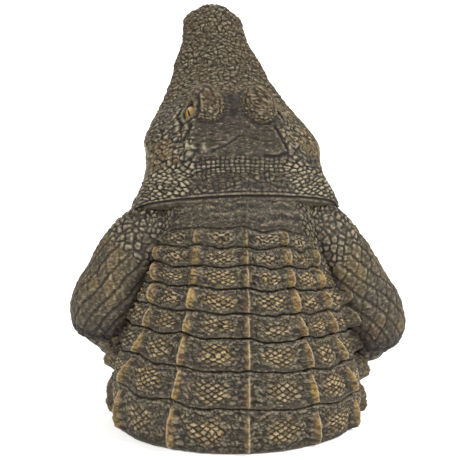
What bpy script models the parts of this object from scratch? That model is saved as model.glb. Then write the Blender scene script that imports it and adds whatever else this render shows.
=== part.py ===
"""A cast garden statue: the front half of an alligator that rears up out of the ground.

The statue is one casting. It faces -Y, stands on its flat underside at Z = 0, and its spine lies
near the plane X = 0. The pose and the carving are counted in grid units, all of them shares of the
statue's height, so that one size drives the whole figure.
"""

import math

import bpy
import numpy as np

# Driving size, in metres: floor to the highest point of the snout.
STATUE_HEIGHT = 0.6
# The figure is drawn on a grid of this many units from the floor to the top of the snout.
GRID_HEIGHT = 398.0
UNIT = STATUE_HEIGHT / GRID_HEIGHT
# Grid position of the middle of the finished statue, so that its origin is under its middle.
MIDDLE_ACROSS = -0.2
MIDDLE_FORWARD = 162.2

# The trunk, station by station up its back: arc length, distance forward, height, forward lean in
# degrees, half width and half depth of the ring there.
TRUNK_STATIONS = np.array(
    [
        [-12, 0, -12, 0, 118, 95],
        [0, 0, 0, 0, 119, 96],
        [45, -2, 45, 1, 122, 97],
        [80, -1, 80, 2, 117, 95],
        [115, 2, 115, 4, 113, 92],
        [143, 5, 143, 7, 108, 89],
        [167, 10, 166, 10, 100, 86],
        [190, 15, 188, 14, 94, 83],
        [212, 23, 209, 18, 89, 80],
        [235, 31, 231, 22, 85, 77],
        [258, 42, 252, 27, 82, 73],
        [290, 62, 276, 36, 72, 62],
    ],
    float,
)
# The chest rounds back under the throat: depth of the front half as a share of the back half.
CHEST_DEPTHS = np.array([[-12, 1.0], [190, 1.0], [235, 0.93], [258, 0.8], [275, 0.62], [290, 0.4]])
# Borders between the rows of scutes, as arc length up the back. The last one is the neck fold.
ROW_BORDERS = np.array([0, 44.5, 81.5, 112, 137, 160, 181.5, 200.5, 217, 250], float)
# How strong the keels are in each row, from the ground up.
ROW_KEEL_SHARES = np.array([1, 1, 1, 1, 0.95, 0.9, 0.85, 0.7, 0.2], float)
KEEL_SPACING_DEGREES = 31.0
KEELS_PER_SIDE = 3
# The keels are counted evenly round the back, and fan out towards the ground: arc length, then the
# true angle of each place in EVEN_DEGREES. The right-hand keels stand closer together.
EVEN_DEGREES = [-180, -108.5, -93, -62, -31, 0, 31, 62, 93, 108.5, 180]
KEEL_FAN = np.array(
    [
        [22, -180, -107, -92, -65, -34, 0, 37, 76, 102, 116, 180],
        [60, -180, -102, -86, -61, -32, 0, 33.6, 69, 95, 110, 180],
        [95, -180, -94, -78, -54, -30.6, 0, 32.6, 59, 85, 101, 180],
        [117, -180, -87, -71, -48.5, -29, 0, 31, 54, 77, 93, 180],
        [137, -180, -83, -67, -47, -26.5, 0, 30, 53, 74, 90, 180],
        [160, -180, -81, -65, -46.5, -25.5, 0, 30, 55, 75, 91, 180],
        [185, -180, -80, -64, -46, -25, 0, 30.5, 59, 78, 94, 180],
    ],
    float,
)
KEEL_HEIGHT = 9.0
SIDE_KEEL_HEIGHT = 13.0
SCUTE_SWELL = 3.0
GROOVE_DEPTH = 2.0
# The rows climb this far at each keel.
ROW_SCALLOP = 3.0
# The trunk stands this far to the statue's left of the line its keels follow.
TRUNK_SHIFT = 1.5
# The rows of scutes run higher on the statue's left side.
ROW_TILT_DEGREES = 3.5
# Along one row, as a share of it from its lower border: swell of the band, strength of the keels.
ROW_PROFILE = np.array(
    [[0.0, -1.0, 0.15], [0.07, 0.75, 0.8], [0.34, 1.0, 1.0], [0.84, 0.75, 0.5], [1.0, -1.0, 0.15]]
)
# Across the band, from a keel to midway to the next one: swell of the band, strength of the keel.
SCUTE_PROFILE = np.array([[0.0, 0.3, 1.0], [0.24, 0.1, 0.2], [0.45, 0.25, 0.0], [1.0, 1.0, 0.0]])
BELLY_COLUMNS = 8
# The trunk ends inside the neck: arc lengths of its last two rings, and how far the last is drawn in.
NECK_ARC = 262.0
NECK_END_ARC = 288.0
NECK_END_INSET = 6.0
BELLY_SWELL_SHARE = 0.6

# The head has its own frame: its origin is the back of the skull, its axis is pitched up.
SKULL_FORWARD = 86.0
SKULL_HEIGHT = 296.0
HEAD_PITCH_DEGREES = 27.0
HEAD_ROLL_DEGREES = 3.0
HEAD_YAW_DEGREES = 0.4
ROLL_AXIS_DEPTH = 40.0
# The head is carried this far to the statue's left of the spine.
HEAD_SHIFT = 4.0
# Behind the skull the nape bends down by this angle over this length.
NAPE_LENGTH = 73.0
NAPE_BEND_DEGREES = 37.0
# Sections of the head: distance along its axis, height of the top, half width of the flat top and
# its height, how full the cheek is, half width at the lip and height there, half width and height
# of the lower jaw, height of the throat, depth of the mouth line.
HEAD_STATIONS = np.array(
    [
        [-78, -9, 40, -14, 0.26, 86, -60, 80, -90, -100, 0],
        [-73, -3, 43, -9, 0.24, 98, -60, 92, -94, -106, 0],
        [-60, 0, 45, -6, 0.24, 100, -58, 94, -94, -108, 0],
        [-36, -3, 45, -7, 0.27, 93, -53, 88, -87, -109, 0],
        [-27, 3, 46, 0, 0.32, 90, -48, 85, -83, -109, 0],
        [-12, 3, 46, 0, 0.36, 87, -42, 83, -78, -109, 0],
        [0, 2, 45, 0, 0.4, 86, -37, 81, -74, -108, 0],
        [27, 1, 43, -1, 0.46, 87, -33, 81, -70, -101, 2],
        [56, 0, 39, -4, 0.52, 78, -32, 74, -66, -92, 3],
        [85, -7, 34, -12, 0.55, 68, -34, 64, -62, -83, 3],
        [112, -15, 29, -20, 0.5, 60, -36, 55, -60, -76, 3],
        [140, -19, 27, -24, 0.45, 52, -37, 47, -58, -71, 3],
        [172, -20, 24, -24, 0.42, 46, -37, 41, -55, -66, 3],
        [204, -18, 21, -21, 0.4, 36, -35, 33, -51, -60, 3],
        [228, -14, 20, -17, 0.4, 33, -32, 31, -47, -55, 3],
        [248, -14, 17, -18, 0.4, 30, -31, 27, -43, -49, 2],
        [258, -18, 10, -21, 0.4, 21, -30, 18, -38, -42, 1],
        [263, -24, 3, -25, 0.4, 7, -29, 6, -33, -35, 0],
    ],
    float,
)
HEAD_RINGS = [-78, -73, -61, -48, -36, -27, -12, 0, 13, 27, 41, 56, 70, 85, 99, 112, 126, 140, 156, 172]
HEAD_RINGS += [188, 204, 216, 228, 239, 248, 254, 258, 261, 263]
EYE_ALONG = 49.0
EYE_ACROSS = 26.0
EYE_UP = -7.0
EYE_BUMP_RADII = (33.0, 18.0, 18.0)
NOSE_ALONG = 240.0
NOSE_UP = -20.0
NOSE_BUMP_RADII = (18.0, 19.0, 8.0)

# The left foreleg in two lengths that meet at the elbow: distance across, forward, height, radius.
UPPER_STATIONS = np.array(
    [
        [68, 82, 216, 22],
        [88, 83, 200, 29.5],
        [106, 85, 176, 33],
        [119, 88, 146, 34],
        [133, 93, 120, 33],
        [138, 97, 103, 29],
        [140, 99, 91, 20],
        [140.5, 100, 85, 7],
    ],
    float,
)
FOREARM_STATIONS = np.array(
    [
        [138, 78, 118, 10],
        [134, 90, 112, 24],
        [124, 116, 92, 27],
        [106, 149, 68, 25],
        [93, 178, 44, 21],
        [87, 196, 24, 18],
        [85, 208, 14, 15],
    ],
    float,
)
# The right elbow hangs lower than the left one, and its upper foreleg is held closer.
LEFT_ELBOW_LIFT = 7.0
RIGHT_ELBOW_DROP = 17.0
RIGHT_ARM_TUCK = 14.0
# The rings of a limb turn with the bends of its path averaged over this share of its length.
BEND_SOFTENING = 0.05
UPPER_PLATE_ROWS = 8
FOREARM_PLATE_ROWS = 7
ARM_PLATES_ROUND = 8
ARM_PLATE_SWELL = 2.2
ARM_PLATE_SLANT = 0.35
# The palm lies this far ahead of the wrist, at this height.
PALM_AHEAD = 8.0
PALM_HEIGHT = 9.0
PALM_PLACE = (FOREARM_STATIONS[-1, 0], FOREARM_STATIONS[-1, 1] + PALM_AHEAD, PALM_HEIGHT)
PALM_RADII = (24.0, 27.0, 15.0)
FINGER_COUNT = 5
FINGER_FAN_DEGREES = 88.0
FINGER_TURN_DEGREES = 8.0
FINGER_START = 12.0
# Along one finger: distance from the start, height of its middle, radius.
FINGER_STATIONS = [(0, 9, 9), (14, 10, 9.5), (22, 11, 9.8), (30, 9.5, 8.6), (38, 7.5, 7), (43, 7, 4.6)]
FINGER_STATIONS += [(50, 5.2, 3), (57, 2.4, 1.2)]
FINGER_LENGTH_SHARES = [0.78, 0.96, 1.0, 0.9, 0.74]


def smooth(table, at):
    """Read a station table at the given places, on a curve without kinks through its rows."""
    at = np.asarray(at, float)
    keys = table[:, 0]
    values = table[:, 1:]
    slopes = np.gradient(values, keys, axis=0)
    place = np.clip(at.ravel(), keys[0], keys[-1])
    row = np.clip(np.searchsorted(keys, place, side="right") - 1, 0, len(keys) - 2)
    span = (keys[row + 1] - keys[row])[:, None]
    t = (place[:, None] - keys[row][:, None]) / span
    start = (2 * t**3 - 3 * t**2 + 1) * values[row] + (t**3 - 2 * t**2 + t) * span * slopes[row]
    end = (3 * t**2 - 2 * t**3) * values[row + 1] + (t**3 - t**2) * span * slopes[row + 1]
    return (start + end).T.reshape((values.shape[1],) + at.shape)


def world(across, forward, height):
    """Turn grid places into metres: X to the statue's left, -Y forward, Z up."""
    places = np.stack([across - MIDDLE_ACROSS, MIDDLE_FORWARD - forward, height], axis=-1)
    return places * UNIT


def fanned(arc, angle):
    """Turn even angles round the trunk to where the fan of keels puts them."""
    even = (np.degrees(angle) + 180) % 360 - 180
    turned = np.full_like(even, EVEN_DEGREES[0])
    for place, (near, far) in enumerate(zip(EVEN_DEGREES[:-1], EVEN_DEGREES[1:])):
        low = np.interp(arc, KEEL_FAN[:, 0], KEEL_FAN[:, place + 1])
        high = np.interp(arc, KEEL_FAN[:, 0], KEEL_FAN[:, place + 2])
        turned += np.clip((even - near) / (far - near), 0, 1) * (high - low)
    return np.radians(turned)


def trunk_place(arc, angle, rise):
    """Place points on the trunk, by arc length up the back, angle from the spine and relief."""
    forward, height, lean, half_width, half_depth = smooth(TRUNK_STATIONS, arc)
    lean = np.radians(lean)
    angle = fanned(arc, angle)
    normal = np.hypot(np.sin(angle) * half_depth, np.cos(angle) * half_width)
    across = half_width * np.sin(angle) + rise * np.sin(angle) * half_depth / normal + TRUNK_SHIFT
    chest = np.interp(arc, CHEST_DEPTHS[:, 0], CHEST_DEPTHS[:, 1])
    depth = np.where(np.cos(angle) < 0, half_depth * chest, half_depth)
    dorsal = depth * np.cos(angle) + rise * np.cos(angle) * half_width / normal
    inward = half_depth - dorsal
    tilt = math.tan(math.radians(ROW_TILT_DEGREES)) * np.clip(arc / ROW_BORDERS[1], 0, 1)
    return across, forward + inward * np.cos(lean), height - inward * np.sin(lean) + across * tilt


def trunk_columns():
    """List the columns round the trunk: angle, scute swell, keel strength, climb of the row."""
    columns = []
    half = KEEL_SPACING_DEGREES / 2
    for keel in range(-KEELS_PER_SIDE, KEELS_PER_SIDE + 1):
        top = SIDE_KEEL_HEIGHT if abs(keel) == KEELS_PER_SIDE else KEEL_HEIGHT
        for side, profile in ((-1, SCUTE_PROFILE[::-1]), (1, SCUTE_PROFILE[1:-1])):
            for share, swell, strength in profile:
                angle = keel * KEEL_SPACING_DEGREES + side * share * half
                columns.append((angle, swell, strength * top, ROW_SCALLOP * (1 - share)))
    last = (KEELS_PER_SIDE + 0.5) * KEEL_SPACING_DEGREES
    columns.append((last, 1.0, 0.0, 0.0))
    for step in range(1, BELLY_COLUMNS):
        angle = last + (360 - 2 * last) * step / BELLY_COLUMNS
        columns.append((angle, BELLY_SWELL_SHARE, 0.0, 0.0))
    return np.array(columns)


def trunk_rings():
    """Build the rings of the trunk from below the ground to inside the neck."""
    columns = trunk_columns()
    angle = np.radians(columns[:, 0])
    swell = columns[:, 1]
    keel = columns[:, 2]
    climb = columns[:, 3]
    plain = np.zeros_like(angle)
    rings = [world(*trunk_place(plain + TRUNK_STATIONS[0, 0], angle, plain - GROOVE_DEPTH))]
    for row in range(len(ROW_BORDERS) - 1):
        low = ROW_BORDERS[row]
        length = ROW_BORDERS[row + 1] - low
        for share, row_swell, row_keel in ROW_PROFILE[:-1]:
            arc = low + share * length + climb * (1 - share) * min(row, 1) + climb * share
            body = np.where(row_swell < 0, row_swell * GROOVE_DEPTH, row_swell * SCUTE_SWELL * swell)
            rise = body + row_keel * keel * ROW_KEEL_SHARES[row]
            rings.append(world(*trunk_place(arc, angle, rise)))
    rings.append(world(*trunk_place(plain + NECK_ARC, angle, plain - GROOVE_DEPTH)))
    rings.append(world(*trunk_place(plain + NECK_END_ARC, angle, plain - NECK_END_INSET)))
    return np.array(rings)


def head_place(along, across, up):
    """Place points on the head, by distance along its axis, across to its left, and up."""
    behind = np.maximum(-along, 0)
    bend = math.radians(NAPE_BEND_DEGREES)
    radius = NAPE_LENGTH / bend
    base = math.radians(HEAD_PITCH_DEGREES)
    pitch = base + behind / radius
    share = np.clip(1 - behind / NAPE_LENGTH, 0, 1)
    roll = math.radians(HEAD_ROLL_DEGREES) * share
    lever = up + ROLL_AXIS_DEPTH
    rolled_across = across * np.cos(roll) - lever * np.sin(roll)
    rolled_up = lever * np.cos(roll) + across * np.sin(roll) - ROLL_AXIS_DEPTH
    ahead = np.maximum(along, 0)
    forward = SKULL_FORWARD + ahead * math.cos(base) - radius * (np.sin(pitch) - math.sin(base))
    height = SKULL_HEIGHT + ahead * math.sin(base) - radius * (math.cos(base) - np.cos(pitch))
    drift = HEAD_SHIFT + ahead * math.tan(math.radians(HEAD_YAW_DEGREES))
    forward = forward - rolled_up * np.sin(pitch)
    height = height + rolled_up * np.cos(pitch)
    return rolled_across + drift, forward, height


def head_section(along):
    """Draw half of a head section, from the middle of the top to the middle of the throat."""
    top, flat, shoulder, full, lip, lip_up, jaw, jaw_up, throat, mouth = smooth(HEAD_STATIONS, along)
    across = [0, flat * 0.55, flat, flat + (lip - flat) * 0.55, flat + (lip - flat) * 0.86]
    up = [top, top + (shoulder - top) * 0.35, shoulder]
    up += [shoulder + (lip_up - shoulder) * full, shoulder + (lip_up - shoulder) * (full + 0.28)]
    across += [lip, lip - mouth * 1.3, lip - mouth * 0.7 - (lip - jaw) * 0.1]
    up += [lip_up + 1, lip_up - mouth * 0.6 - 1, lip_up - mouth * 1.6 - 2]
    across += [jaw + (lip - jaw) * 0.35, jaw * 0.9, jaw * 0.6, jaw * 0.3, 0]
    up += [lip_up + (jaw_up - lip_up) * 0.6, jaw_up, throat + (jaw_up - throat) * 0.4]
    up += [throat + (jaw_up - throat) * 0.1, throat]
    return np.array(across, float), np.array(up, float)


def head_rings():
    """Build the rings of the head from inside the neck to the tip of the snout."""
    rings = []
    for along in HEAD_RINGS:
        across, up = head_section(along)
        across = np.concatenate([across, -across[-2:0:-1]])
        up = np.concatenate([up, up[-2:0:-1]])
        rings.append(world(*head_place(np.full_like(across, along), across, up)))
    return np.array(rings)


def foreleg_stations(stations, side):
    """Give the stations of one length of foreleg, posed for its side but drawn as the left one."""
    posed = stations.copy()
    elbow = np.clip(1 - np.abs(stations[:, 2] - 105) / 95, 0, 1)
    if side > 0:
        posed[:, 2] += LEFT_ELBOW_LIFT * elbow
    else:
        posed[:, 2] -= RIGHT_ELBOW_DROP * elbow
        posed[:, 0] -= RIGHT_ARM_TUCK * np.clip((stations[:, 2] - 125) / 60, 0, 1)
    return posed


def tube_rings(side, stations, shares, turns, relief, reference):
    """Build rings round a path of stations, read at shares of its length; side -1 mirrors it."""
    steps = np.linalg.norm(np.diff(stations[:, :3], axis=0), axis=1)
    keys = np.concatenate([[0], np.cumsum(steps)])
    table = np.column_stack([keys / keys[-1], stations])
    place = smooth(table, shares)
    ahead = smooth(table, np.clip(np.asarray(shares) + BEND_SOFTENING, 0, 1))
    behind = smooth(table, np.clip(np.asarray(shares) - BEND_SOFTENING, 0, 1))
    axis = (ahead - behind)[:3].T
    axis /= np.linalg.norm(axis, axis=1)[:, None]
    first = np.cross(axis, np.array(reference))
    first /= np.linalg.norm(first, axis=1)[:, None]
    second = np.cross(axis, first)
    rings = []
    for index in range(len(shares)):
        reach = place[3, index] + relief[index]
        ring = place[:3, index] + reach[:, None] * (
            np.cos(turns[index])[:, None] * first[index]
            + np.sin(turns[index])[:, None] * second[index]
        )
        rings.append(world(ring[:, 0] * side, ring[:, 1], ring[:, 2]))
    return np.array(rings)


def foreleg_rings(side, stations, rows, reference):
    """Build the rings of one length of foreleg, with overlapping plates round it."""
    shares = []
    strengths = []
    for row in range(rows):
        for share, strength in ((0.0, -0.4), (0.3, 1.0)):
            shares.append((row + share) / rows)
            strengths.append(strength)
    shares.append(1.0)
    strengths.append(-0.4)
    base = []
    swell = []
    for plate in range(ARM_PLATES_ROUND):
        for share, strength in ((0.0, -0.4), (0.25, 1.0), (0.75, 1.0)):
            base.append((plate + share) * 2 * math.pi / ARM_PLATES_ROUND)
            swell.append(strength)
    turns = []
    relief = []
    for share, strength in zip(shares, strengths):
        slant = share * rows * ARM_PLATE_SLANT * 2 * math.pi / ARM_PLATES_ROUND
        turns.append(np.array(base) + slant)
        relief.append(np.minimum(np.array(swell), strength) * ARM_PLATE_SWELL)
    posed = foreleg_stations(stations, side)
    return tube_rings(side, posed, np.array(shares), turns, relief, reference)


def finger_rings(side, index):
    """Build the rings of one finger with its claw, fanned out on the ground."""
    turn = (index / (FINGER_COUNT - 1) - 0.5) * FINGER_FAN_DEGREES + FINGER_TURN_DEGREES
    heading = math.radians(turn)
    length = FINGER_LENGTH_SHARES[index]
    stations = []
    for distance, height, radius in FINGER_STATIONS:
        reach = FINGER_START * 0.5 + distance * length
        across = PALM_PLACE[0] + reach * math.sin(heading)
        forward = PALM_PLACE[1] + reach * math.cos(heading)
        stations.append((across, forward, height, radius))
    stations = np.array(stations)
    steps = np.linalg.norm(np.diff(stations[:, :3], axis=0), axis=1)
    shares = np.concatenate([[0], np.cumsum(steps)]) / steps.sum()
    turns = [np.arange(8) * math.pi / 4] * len(shares)
    relief = [np.zeros(8)] * len(shares)
    return tube_rings(side, stations, shares, turns, relief, (0, 0, 1))


def loft(name, rings):
    """Skin a stack of rings with triangles and close both ends with fans."""
    ring_count, column_count = rings.shape[:2]
    points = rings.reshape(-1, 3)
    points = np.vstack([points, rings[0].mean(axis=0), rings[-1].mean(axis=0)])
    faces = []
    for ring in range(ring_count - 1):
        low = ring * column_count
        high = low + column_count
        for column in range(column_count):
            after = (column + 1) % column_count
            corners = (low + column, low + after, high + after, high + column)
            across = np.linalg.norm(points[corners[0]] - points[corners[2]])
            if across < np.linalg.norm(points[corners[1]] - points[corners[3]]):
                faces.append((corners[0], corners[1], corners[2]))
                faces.append((corners[0], corners[2], corners[3]))
            else:
                faces.append((corners[0], corners[1], corners[3]))
                faces.append((corners[1], corners[2], corners[3]))
    last = (ring_count - 1) * column_count
    for column in range(column_count):
        after = (column + 1) % column_count
        faces.append((after, column, len(points) - 2))
        faces.append((last + column, last + after, len(points) - 1))
    mesh = bpy.data.meshes.new(name)
    mesh.from_pydata([tuple(point) for point in points], [], faces)
    mesh.update()
    solid = bpy.data.objects.new(name, mesh)
    return solid


def signed_volume(mesh):
    """Give the volume a closed mesh encloses, below zero when its faces look inward."""
    mesh.calc_loop_triangles()
    total = 0.0
    for triangle in mesh.loop_triangles:
        a, b, c = (mesh.vertices[index].co for index in triangle.vertices)
        total += a.dot(b.cross(c)) / 6
    return total


def face_outward(solid):
    """Flip the faces of a closed mesh when they look inward."""
    if signed_volume(solid.data) < 0:
        solid.data.flip_normals()
    return solid


def bump(name, place, radii, pitch_degrees, roll_degrees):
    """Make an egg shape at a grid place, with its length along the pitched axis."""
    bpy.ops.mesh.primitive_uv_sphere_add(segments=12, ring_count=7, radius=1)
    solid = bpy.context.active_object
    solid.name = name
    solid.data.name = name
    pitch = math.radians(pitch_degrees)
    roll = math.radians(roll_degrees)
    for vertex in solid.data.vertices:
        along = vertex.co.y * radii[0]
        across = vertex.co.x * radii[1]
        up = vertex.co.z * radii[2]
        across, up = (
            across * math.cos(roll) - up * math.sin(roll),
            across * math.sin(roll) + up * math.cos(roll),
        )
        forward = place[1] + along * math.cos(pitch) - up * math.sin(pitch)
        height = place[2] + along * math.sin(pitch) + up * math.cos(pitch)
        vertex.co = world(np.array(place[0] + across), np.array(forward), np.array(height))
    return face_outward(solid)


def move_to(solid, collection):
    """Put an object in one collection only."""
    for owner in list(solid.users_collection):
        owner.objects.unlink(solid)
    collection.objects.link(solid)
    return solid


def painted_stone():
    """Make the material of the whole casting."""
    material = bpy.data.materials.new("painted_cast_stone")
    material.use_nodes = True
    shader = material.node_tree.nodes["Principled BSDF"]
    shader.inputs["Base Color"].default_value = (0.12, 0.1, 0.07, 1)
    shader.inputs["Roughness"].default_value = 0.6
    return material


for old in list(bpy.data.objects):
    bpy.data.objects.remove(old)

statue_collection = bpy.data.collections.new("alligator_statue")
form_collection = bpy.data.collections.new("joined_forms")
bpy.context.scene.collection.children.link(statue_collection)
bpy.context.scene.collection.children.link(form_collection)

# The forms that grow out of the trunk: head, eyes, nose, forelegs, hands and fingers.
forms = [loft("head_form", head_rings())]
for side, word in ((1, "left"), (-1, "right")):
    eye = head_place(np.array(EYE_ALONG), np.array(side * EYE_ACROSS), np.array(EYE_UP))
    forms.append(bump("eye_bump_" + word, eye, EYE_BUMP_RADII, HEAD_PITCH_DEGREES, HEAD_ROLL_DEGREES))
nose = head_place(np.array(NOSE_ALONG), np.array(0.0), np.array(NOSE_UP))
forms.append(bump("nose_bump", nose, NOSE_BUMP_RADII, HEAD_PITCH_DEGREES, HEAD_ROLL_DEGREES))
for side, word in ((1, "left"), (-1, "right")):
    upper = foreleg_rings(side, UPPER_STATIONS, UPPER_PLATE_ROWS, (0, 1, 0.15))
    forms.append(loft("upper_foreleg_" + word, upper))
    forearm = foreleg_rings(side, FOREARM_STATIONS, FOREARM_PLATE_ROWS, (1, 0, 0.15))
    forms.append(loft("forearm_" + word, forearm))
    palm = (PALM_PLACE[0] * side, PALM_PLACE[1], PALM_PLACE[2])
    forms.append(bump("palm_" + word, palm, (PALM_RADII[1], PALM_RADII[0], PALM_RADII[2]), 0, 0))
    for finger in range(FINGER_COUNT):
        forms.append(loft("finger_%s_%d" % (word, finger + 1), finger_rings(side, finger)))

# A block below the floor, which cuts the underside flat.
bpy.ops.mesh.primitive_cube_add(size=1)
ground_block = bpy.context.active_object
ground_block.name = "ground_block"
ground_block.data.name = "ground_block"
for vertex in ground_block.data.vertices:
    vertex.co.x *= 2.0
    vertex.co.y *= 2.0
    vertex.co.z = vertex.co.z * 0.1 - 0.05
move_to(ground_block, form_collection)

statue = loft("alligator_statue", trunk_rings())
move_to(face_outward(statue), statue_collection)
statue.data.materials.append(painted_stone())

for form in forms:
    move_to(face_outward(form), form_collection)
    join = statue.modifiers.new("join_" + form.name, "BOOLEAN")
    join.operation = "UNION"
    join.solver = "EXACT"
    join.object = form
cut = statue.modifiers.new("cut_underside", "BOOLEAN")
cut.operation = "DIFFERENCE"
cut.solver = "EXACT"
cut.object = ground_block

for helper in forms + [ground_block]:
    helper.hide_render = True
    helper.display_type = "WIRE"
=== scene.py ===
# %% [markdown]
# A garden statue of an alligator that rears up out of the ground. The real one is cast in resin
# from a carved mould and painted by hand: a dark umber coat, a darker wash in every groove and
# ochre dry-brushed over the keels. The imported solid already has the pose, the rows of scutes and
# the keels. Here its skin is drawn again with the fine carving, and painted.

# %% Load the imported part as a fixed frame
import itertools
import math

import bpy
import numpy as np
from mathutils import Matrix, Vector

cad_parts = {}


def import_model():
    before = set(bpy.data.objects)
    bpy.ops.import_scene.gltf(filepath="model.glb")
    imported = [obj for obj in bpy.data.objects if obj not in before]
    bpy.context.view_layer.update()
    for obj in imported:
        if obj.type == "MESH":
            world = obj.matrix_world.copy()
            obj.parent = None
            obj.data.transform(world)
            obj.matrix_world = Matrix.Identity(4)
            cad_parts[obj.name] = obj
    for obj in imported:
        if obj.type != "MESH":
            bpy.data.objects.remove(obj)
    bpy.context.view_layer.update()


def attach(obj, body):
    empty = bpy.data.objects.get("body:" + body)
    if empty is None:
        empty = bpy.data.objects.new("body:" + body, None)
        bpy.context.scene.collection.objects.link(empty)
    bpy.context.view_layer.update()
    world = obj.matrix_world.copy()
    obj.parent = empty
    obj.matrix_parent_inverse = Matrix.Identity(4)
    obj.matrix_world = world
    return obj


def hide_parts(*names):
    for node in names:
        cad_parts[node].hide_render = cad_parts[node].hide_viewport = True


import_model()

STATUE = "alligator_statue"
# Floor to the top of the snout, in metres. The figure is drawn on a grid of this many units.
STATUE_HEIGHT = 0.6
GRID_HEIGHT = 398.0
UNIT = STATUE_HEIGHT / GRID_HEIGHT
# Where the middle of the statue's box lies on the grid.
MIDDLE_ACROSS = -0.2
MIDDLE_FORWARD = 162.2

# %% [markdown]
# The pose is a list of stations, as in the solid: each row gives a ring of the trunk, the head or a
# limb. The same tables keep the skin on the solid. Between stations a smooth curve is read.

# %% The trunk: arc length up the back, forward, height, lean, half width, half depth
TRUNK_STATIONS = np.array(
    [
        [-12, 0, -12, 0, 118, 95],
        [0, 0, 0, 0, 119, 96],
        [45, -2, 45, 1, 122, 97],
        [80, -1, 80, 2, 117, 95],
        [115, 2, 115, 4, 113, 92],
        [143, 5, 143, 7, 108, 89],
        [167, 10, 166, 10, 100, 86],
        [190, 15, 188, 14, 94, 83],
        [212, 23, 209, 18, 89, 80],
        [235, 31, 231, 22, 85, 77],
        [258, 42, 252, 27, 82, 73],
        [290, 62, 276, 36, 72, 62],
    ],
    float,
)
CHEST_DEPTHS = np.array([[-12, 1.0], [190, 1.0], [235, 0.93], [258, 0.8], [275, 0.62], [290, 0.4]])
ROW_BORDERS = np.array([0, 44.5, 81.5, 112, 137, 160, 181.5, 200.5, 217, 250], float)
ROW_KEEL_SHARES = np.array([1, 1, 1, 1, 0.95, 0.9, 0.85, 0.7, 0.2], float)
KEEL_SPACING = math.radians(31.0)
KEELS_PER_SIDE = 3
EVEN_DEGREES = [-180, -108.5, -93, -62, -31, 0, 31, 62, 93, 108.5, 180]
KEEL_FAN = np.array(
    [
        [22, -180, -107, -92, -65, -34, 0, 37, 76, 102, 116, 180],
        [60, -180, -102, -86, -61, -32, 0, 33.6, 69, 95, 110, 180],
        [95, -180, -94, -78, -54, -30.6, 0, 32.6, 59, 85, 101, 180],
        [117, -180, -87, -71, -48.5, -29, 0, 31, 54, 77, 93, 180],
        [137, -180, -83, -67, -47, -26.5, 0, 30, 53, 74, 90, 180],
        [160, -180, -81, -65, -46.5, -25.5, 0, 30, 55, 75, 91, 180],
        [185, -180, -80, -64, -46, -25, 0, 30.5, 59, 78, 94, 180],
    ],
    float,
)
KEEL_HEIGHT = 9.0
SIDE_KEEL_HEIGHT = 13.0
SCUTE_SWELL = 3.0
GROOVE_DEPTH = 2.0
ROW_SCALLOP = 3.0
TRUNK_SHIFT = 1.5
ROW_TILT = math.radians(3.5)

# %% The head: along its axis, top, flat half width and height, fullness, lip, jaw, throat, mouth
HEAD_STATIONS = np.array(
    [
        [-78, -9, 40, -14, 0.26, 86, -60, 80, -90, -100, 0],
        [-73, -3, 43, -9, 0.24, 98, -60, 92, -94, -106, 0],
        [-60, 0, 45, -6, 0.24, 100, -58, 94, -94, -108, 0],
        [-36, -3, 45, -7, 0.27, 93, -53, 88, -87, -109, 0],
        [-27, 3, 46, 0, 0.32, 90, -48, 85, -83, -109, 0],
        [-12, 3, 46, 0, 0.36, 87, -42, 83, -78, -109, 0],
        [0, 2, 45, 0, 0.4, 86, -37, 81, -74, -108, 0],
        [27, 1, 43, -1, 0.46, 87, -33, 81, -70, -101, 2],
        [56, 0, 39, -4, 0.52, 78, -32, 74, -66, -92, 3],
        [85, -7, 34, -12, 0.55, 68, -34, 64, -62, -83, 3],
        [112, -15, 29, -20, 0.5, 60, -36, 55, -60, -76, 3],
        [140, -19, 27, -24, 0.45, 52, -37, 47, -58, -71, 3],
        [172, -20, 24, -24, 0.42, 46, -37, 41, -55, -66, 3],
        [204, -18, 21, -21, 0.4, 36, -35, 33, -51, -60, 3],
        [228, -14, 20, -17, 0.4, 33, -32, 31, -47, -55, 3],
        [248, -14, 17, -18, 0.4, 30, -31, 27, -43, -49, 2],
        [258, -18, 10, -21, 0.4, 21, -30, 18, -38, -42, 1],
        [263, -24, 3, -25, 0.4, 7, -29, 6, -33, -35, 0],
    ],
    float,
)
SKULL_FORWARD = 86.0
SKULL_HEIGHT = 296.0
HEAD_PITCH = math.radians(27.0)
HEAD_ROLL = math.radians(3.0)
HEAD_YAW = math.radians(0.4)
ROLL_AXIS_DEPTH = 40.0
HEAD_SHIFT = 4.0
NAPE_LENGTH = 73.0
NAPE_BEND = math.radians(37.0)
EYE_BUMP_PLACE = (49.0, 26.0, -7.0)
EYE_BUMP_RADII = (33.0, 18.0, 18.0)
NOSE_BUMP_PLACE = (240.0, 0.0, -20.0)
NOSE_BUMP_RADII = (18.0, 19.0, 8.0)
EYE_PLACE = (38.0, 40.0, -9.5)
EYE_RADII = (14.0, 8.0, 9.0)
EYE_OPENING_PLACE = (37.0, 42.5, -5.5)
EYE_OPENING_LENGTH = 14.0
EYE_OPENING_WIDTHS = {1: 5.2, -1: 3.0}
RIGHT_EYE_DEPTH = 3.5

# %% The left foreleg, in two lengths that meet at the elbow: across, forward, height, radius
UPPER_STATIONS = np.array(
    [
        [68, 82, 216, 22],
        [88, 83, 200, 29.5],
        [106, 85, 176, 33],
        [119, 88, 146, 34],
        [133, 93, 120, 33],
        [138, 97, 103, 29],
        [140, 99, 91, 20],
        [140.5, 100, 85, 7],
    ],
    float,
)
FOREARM_STATIONS = np.array(
    [
        [138, 78, 118, 10],
        [134, 90, 112, 24],
        [124, 116, 92, 27],
        [106, 149, 68, 25],
        [93, 178, 44, 21],
        [87, 196, 24, 18],
        [85, 208, 14, 15],
    ],
    float,
)
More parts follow.
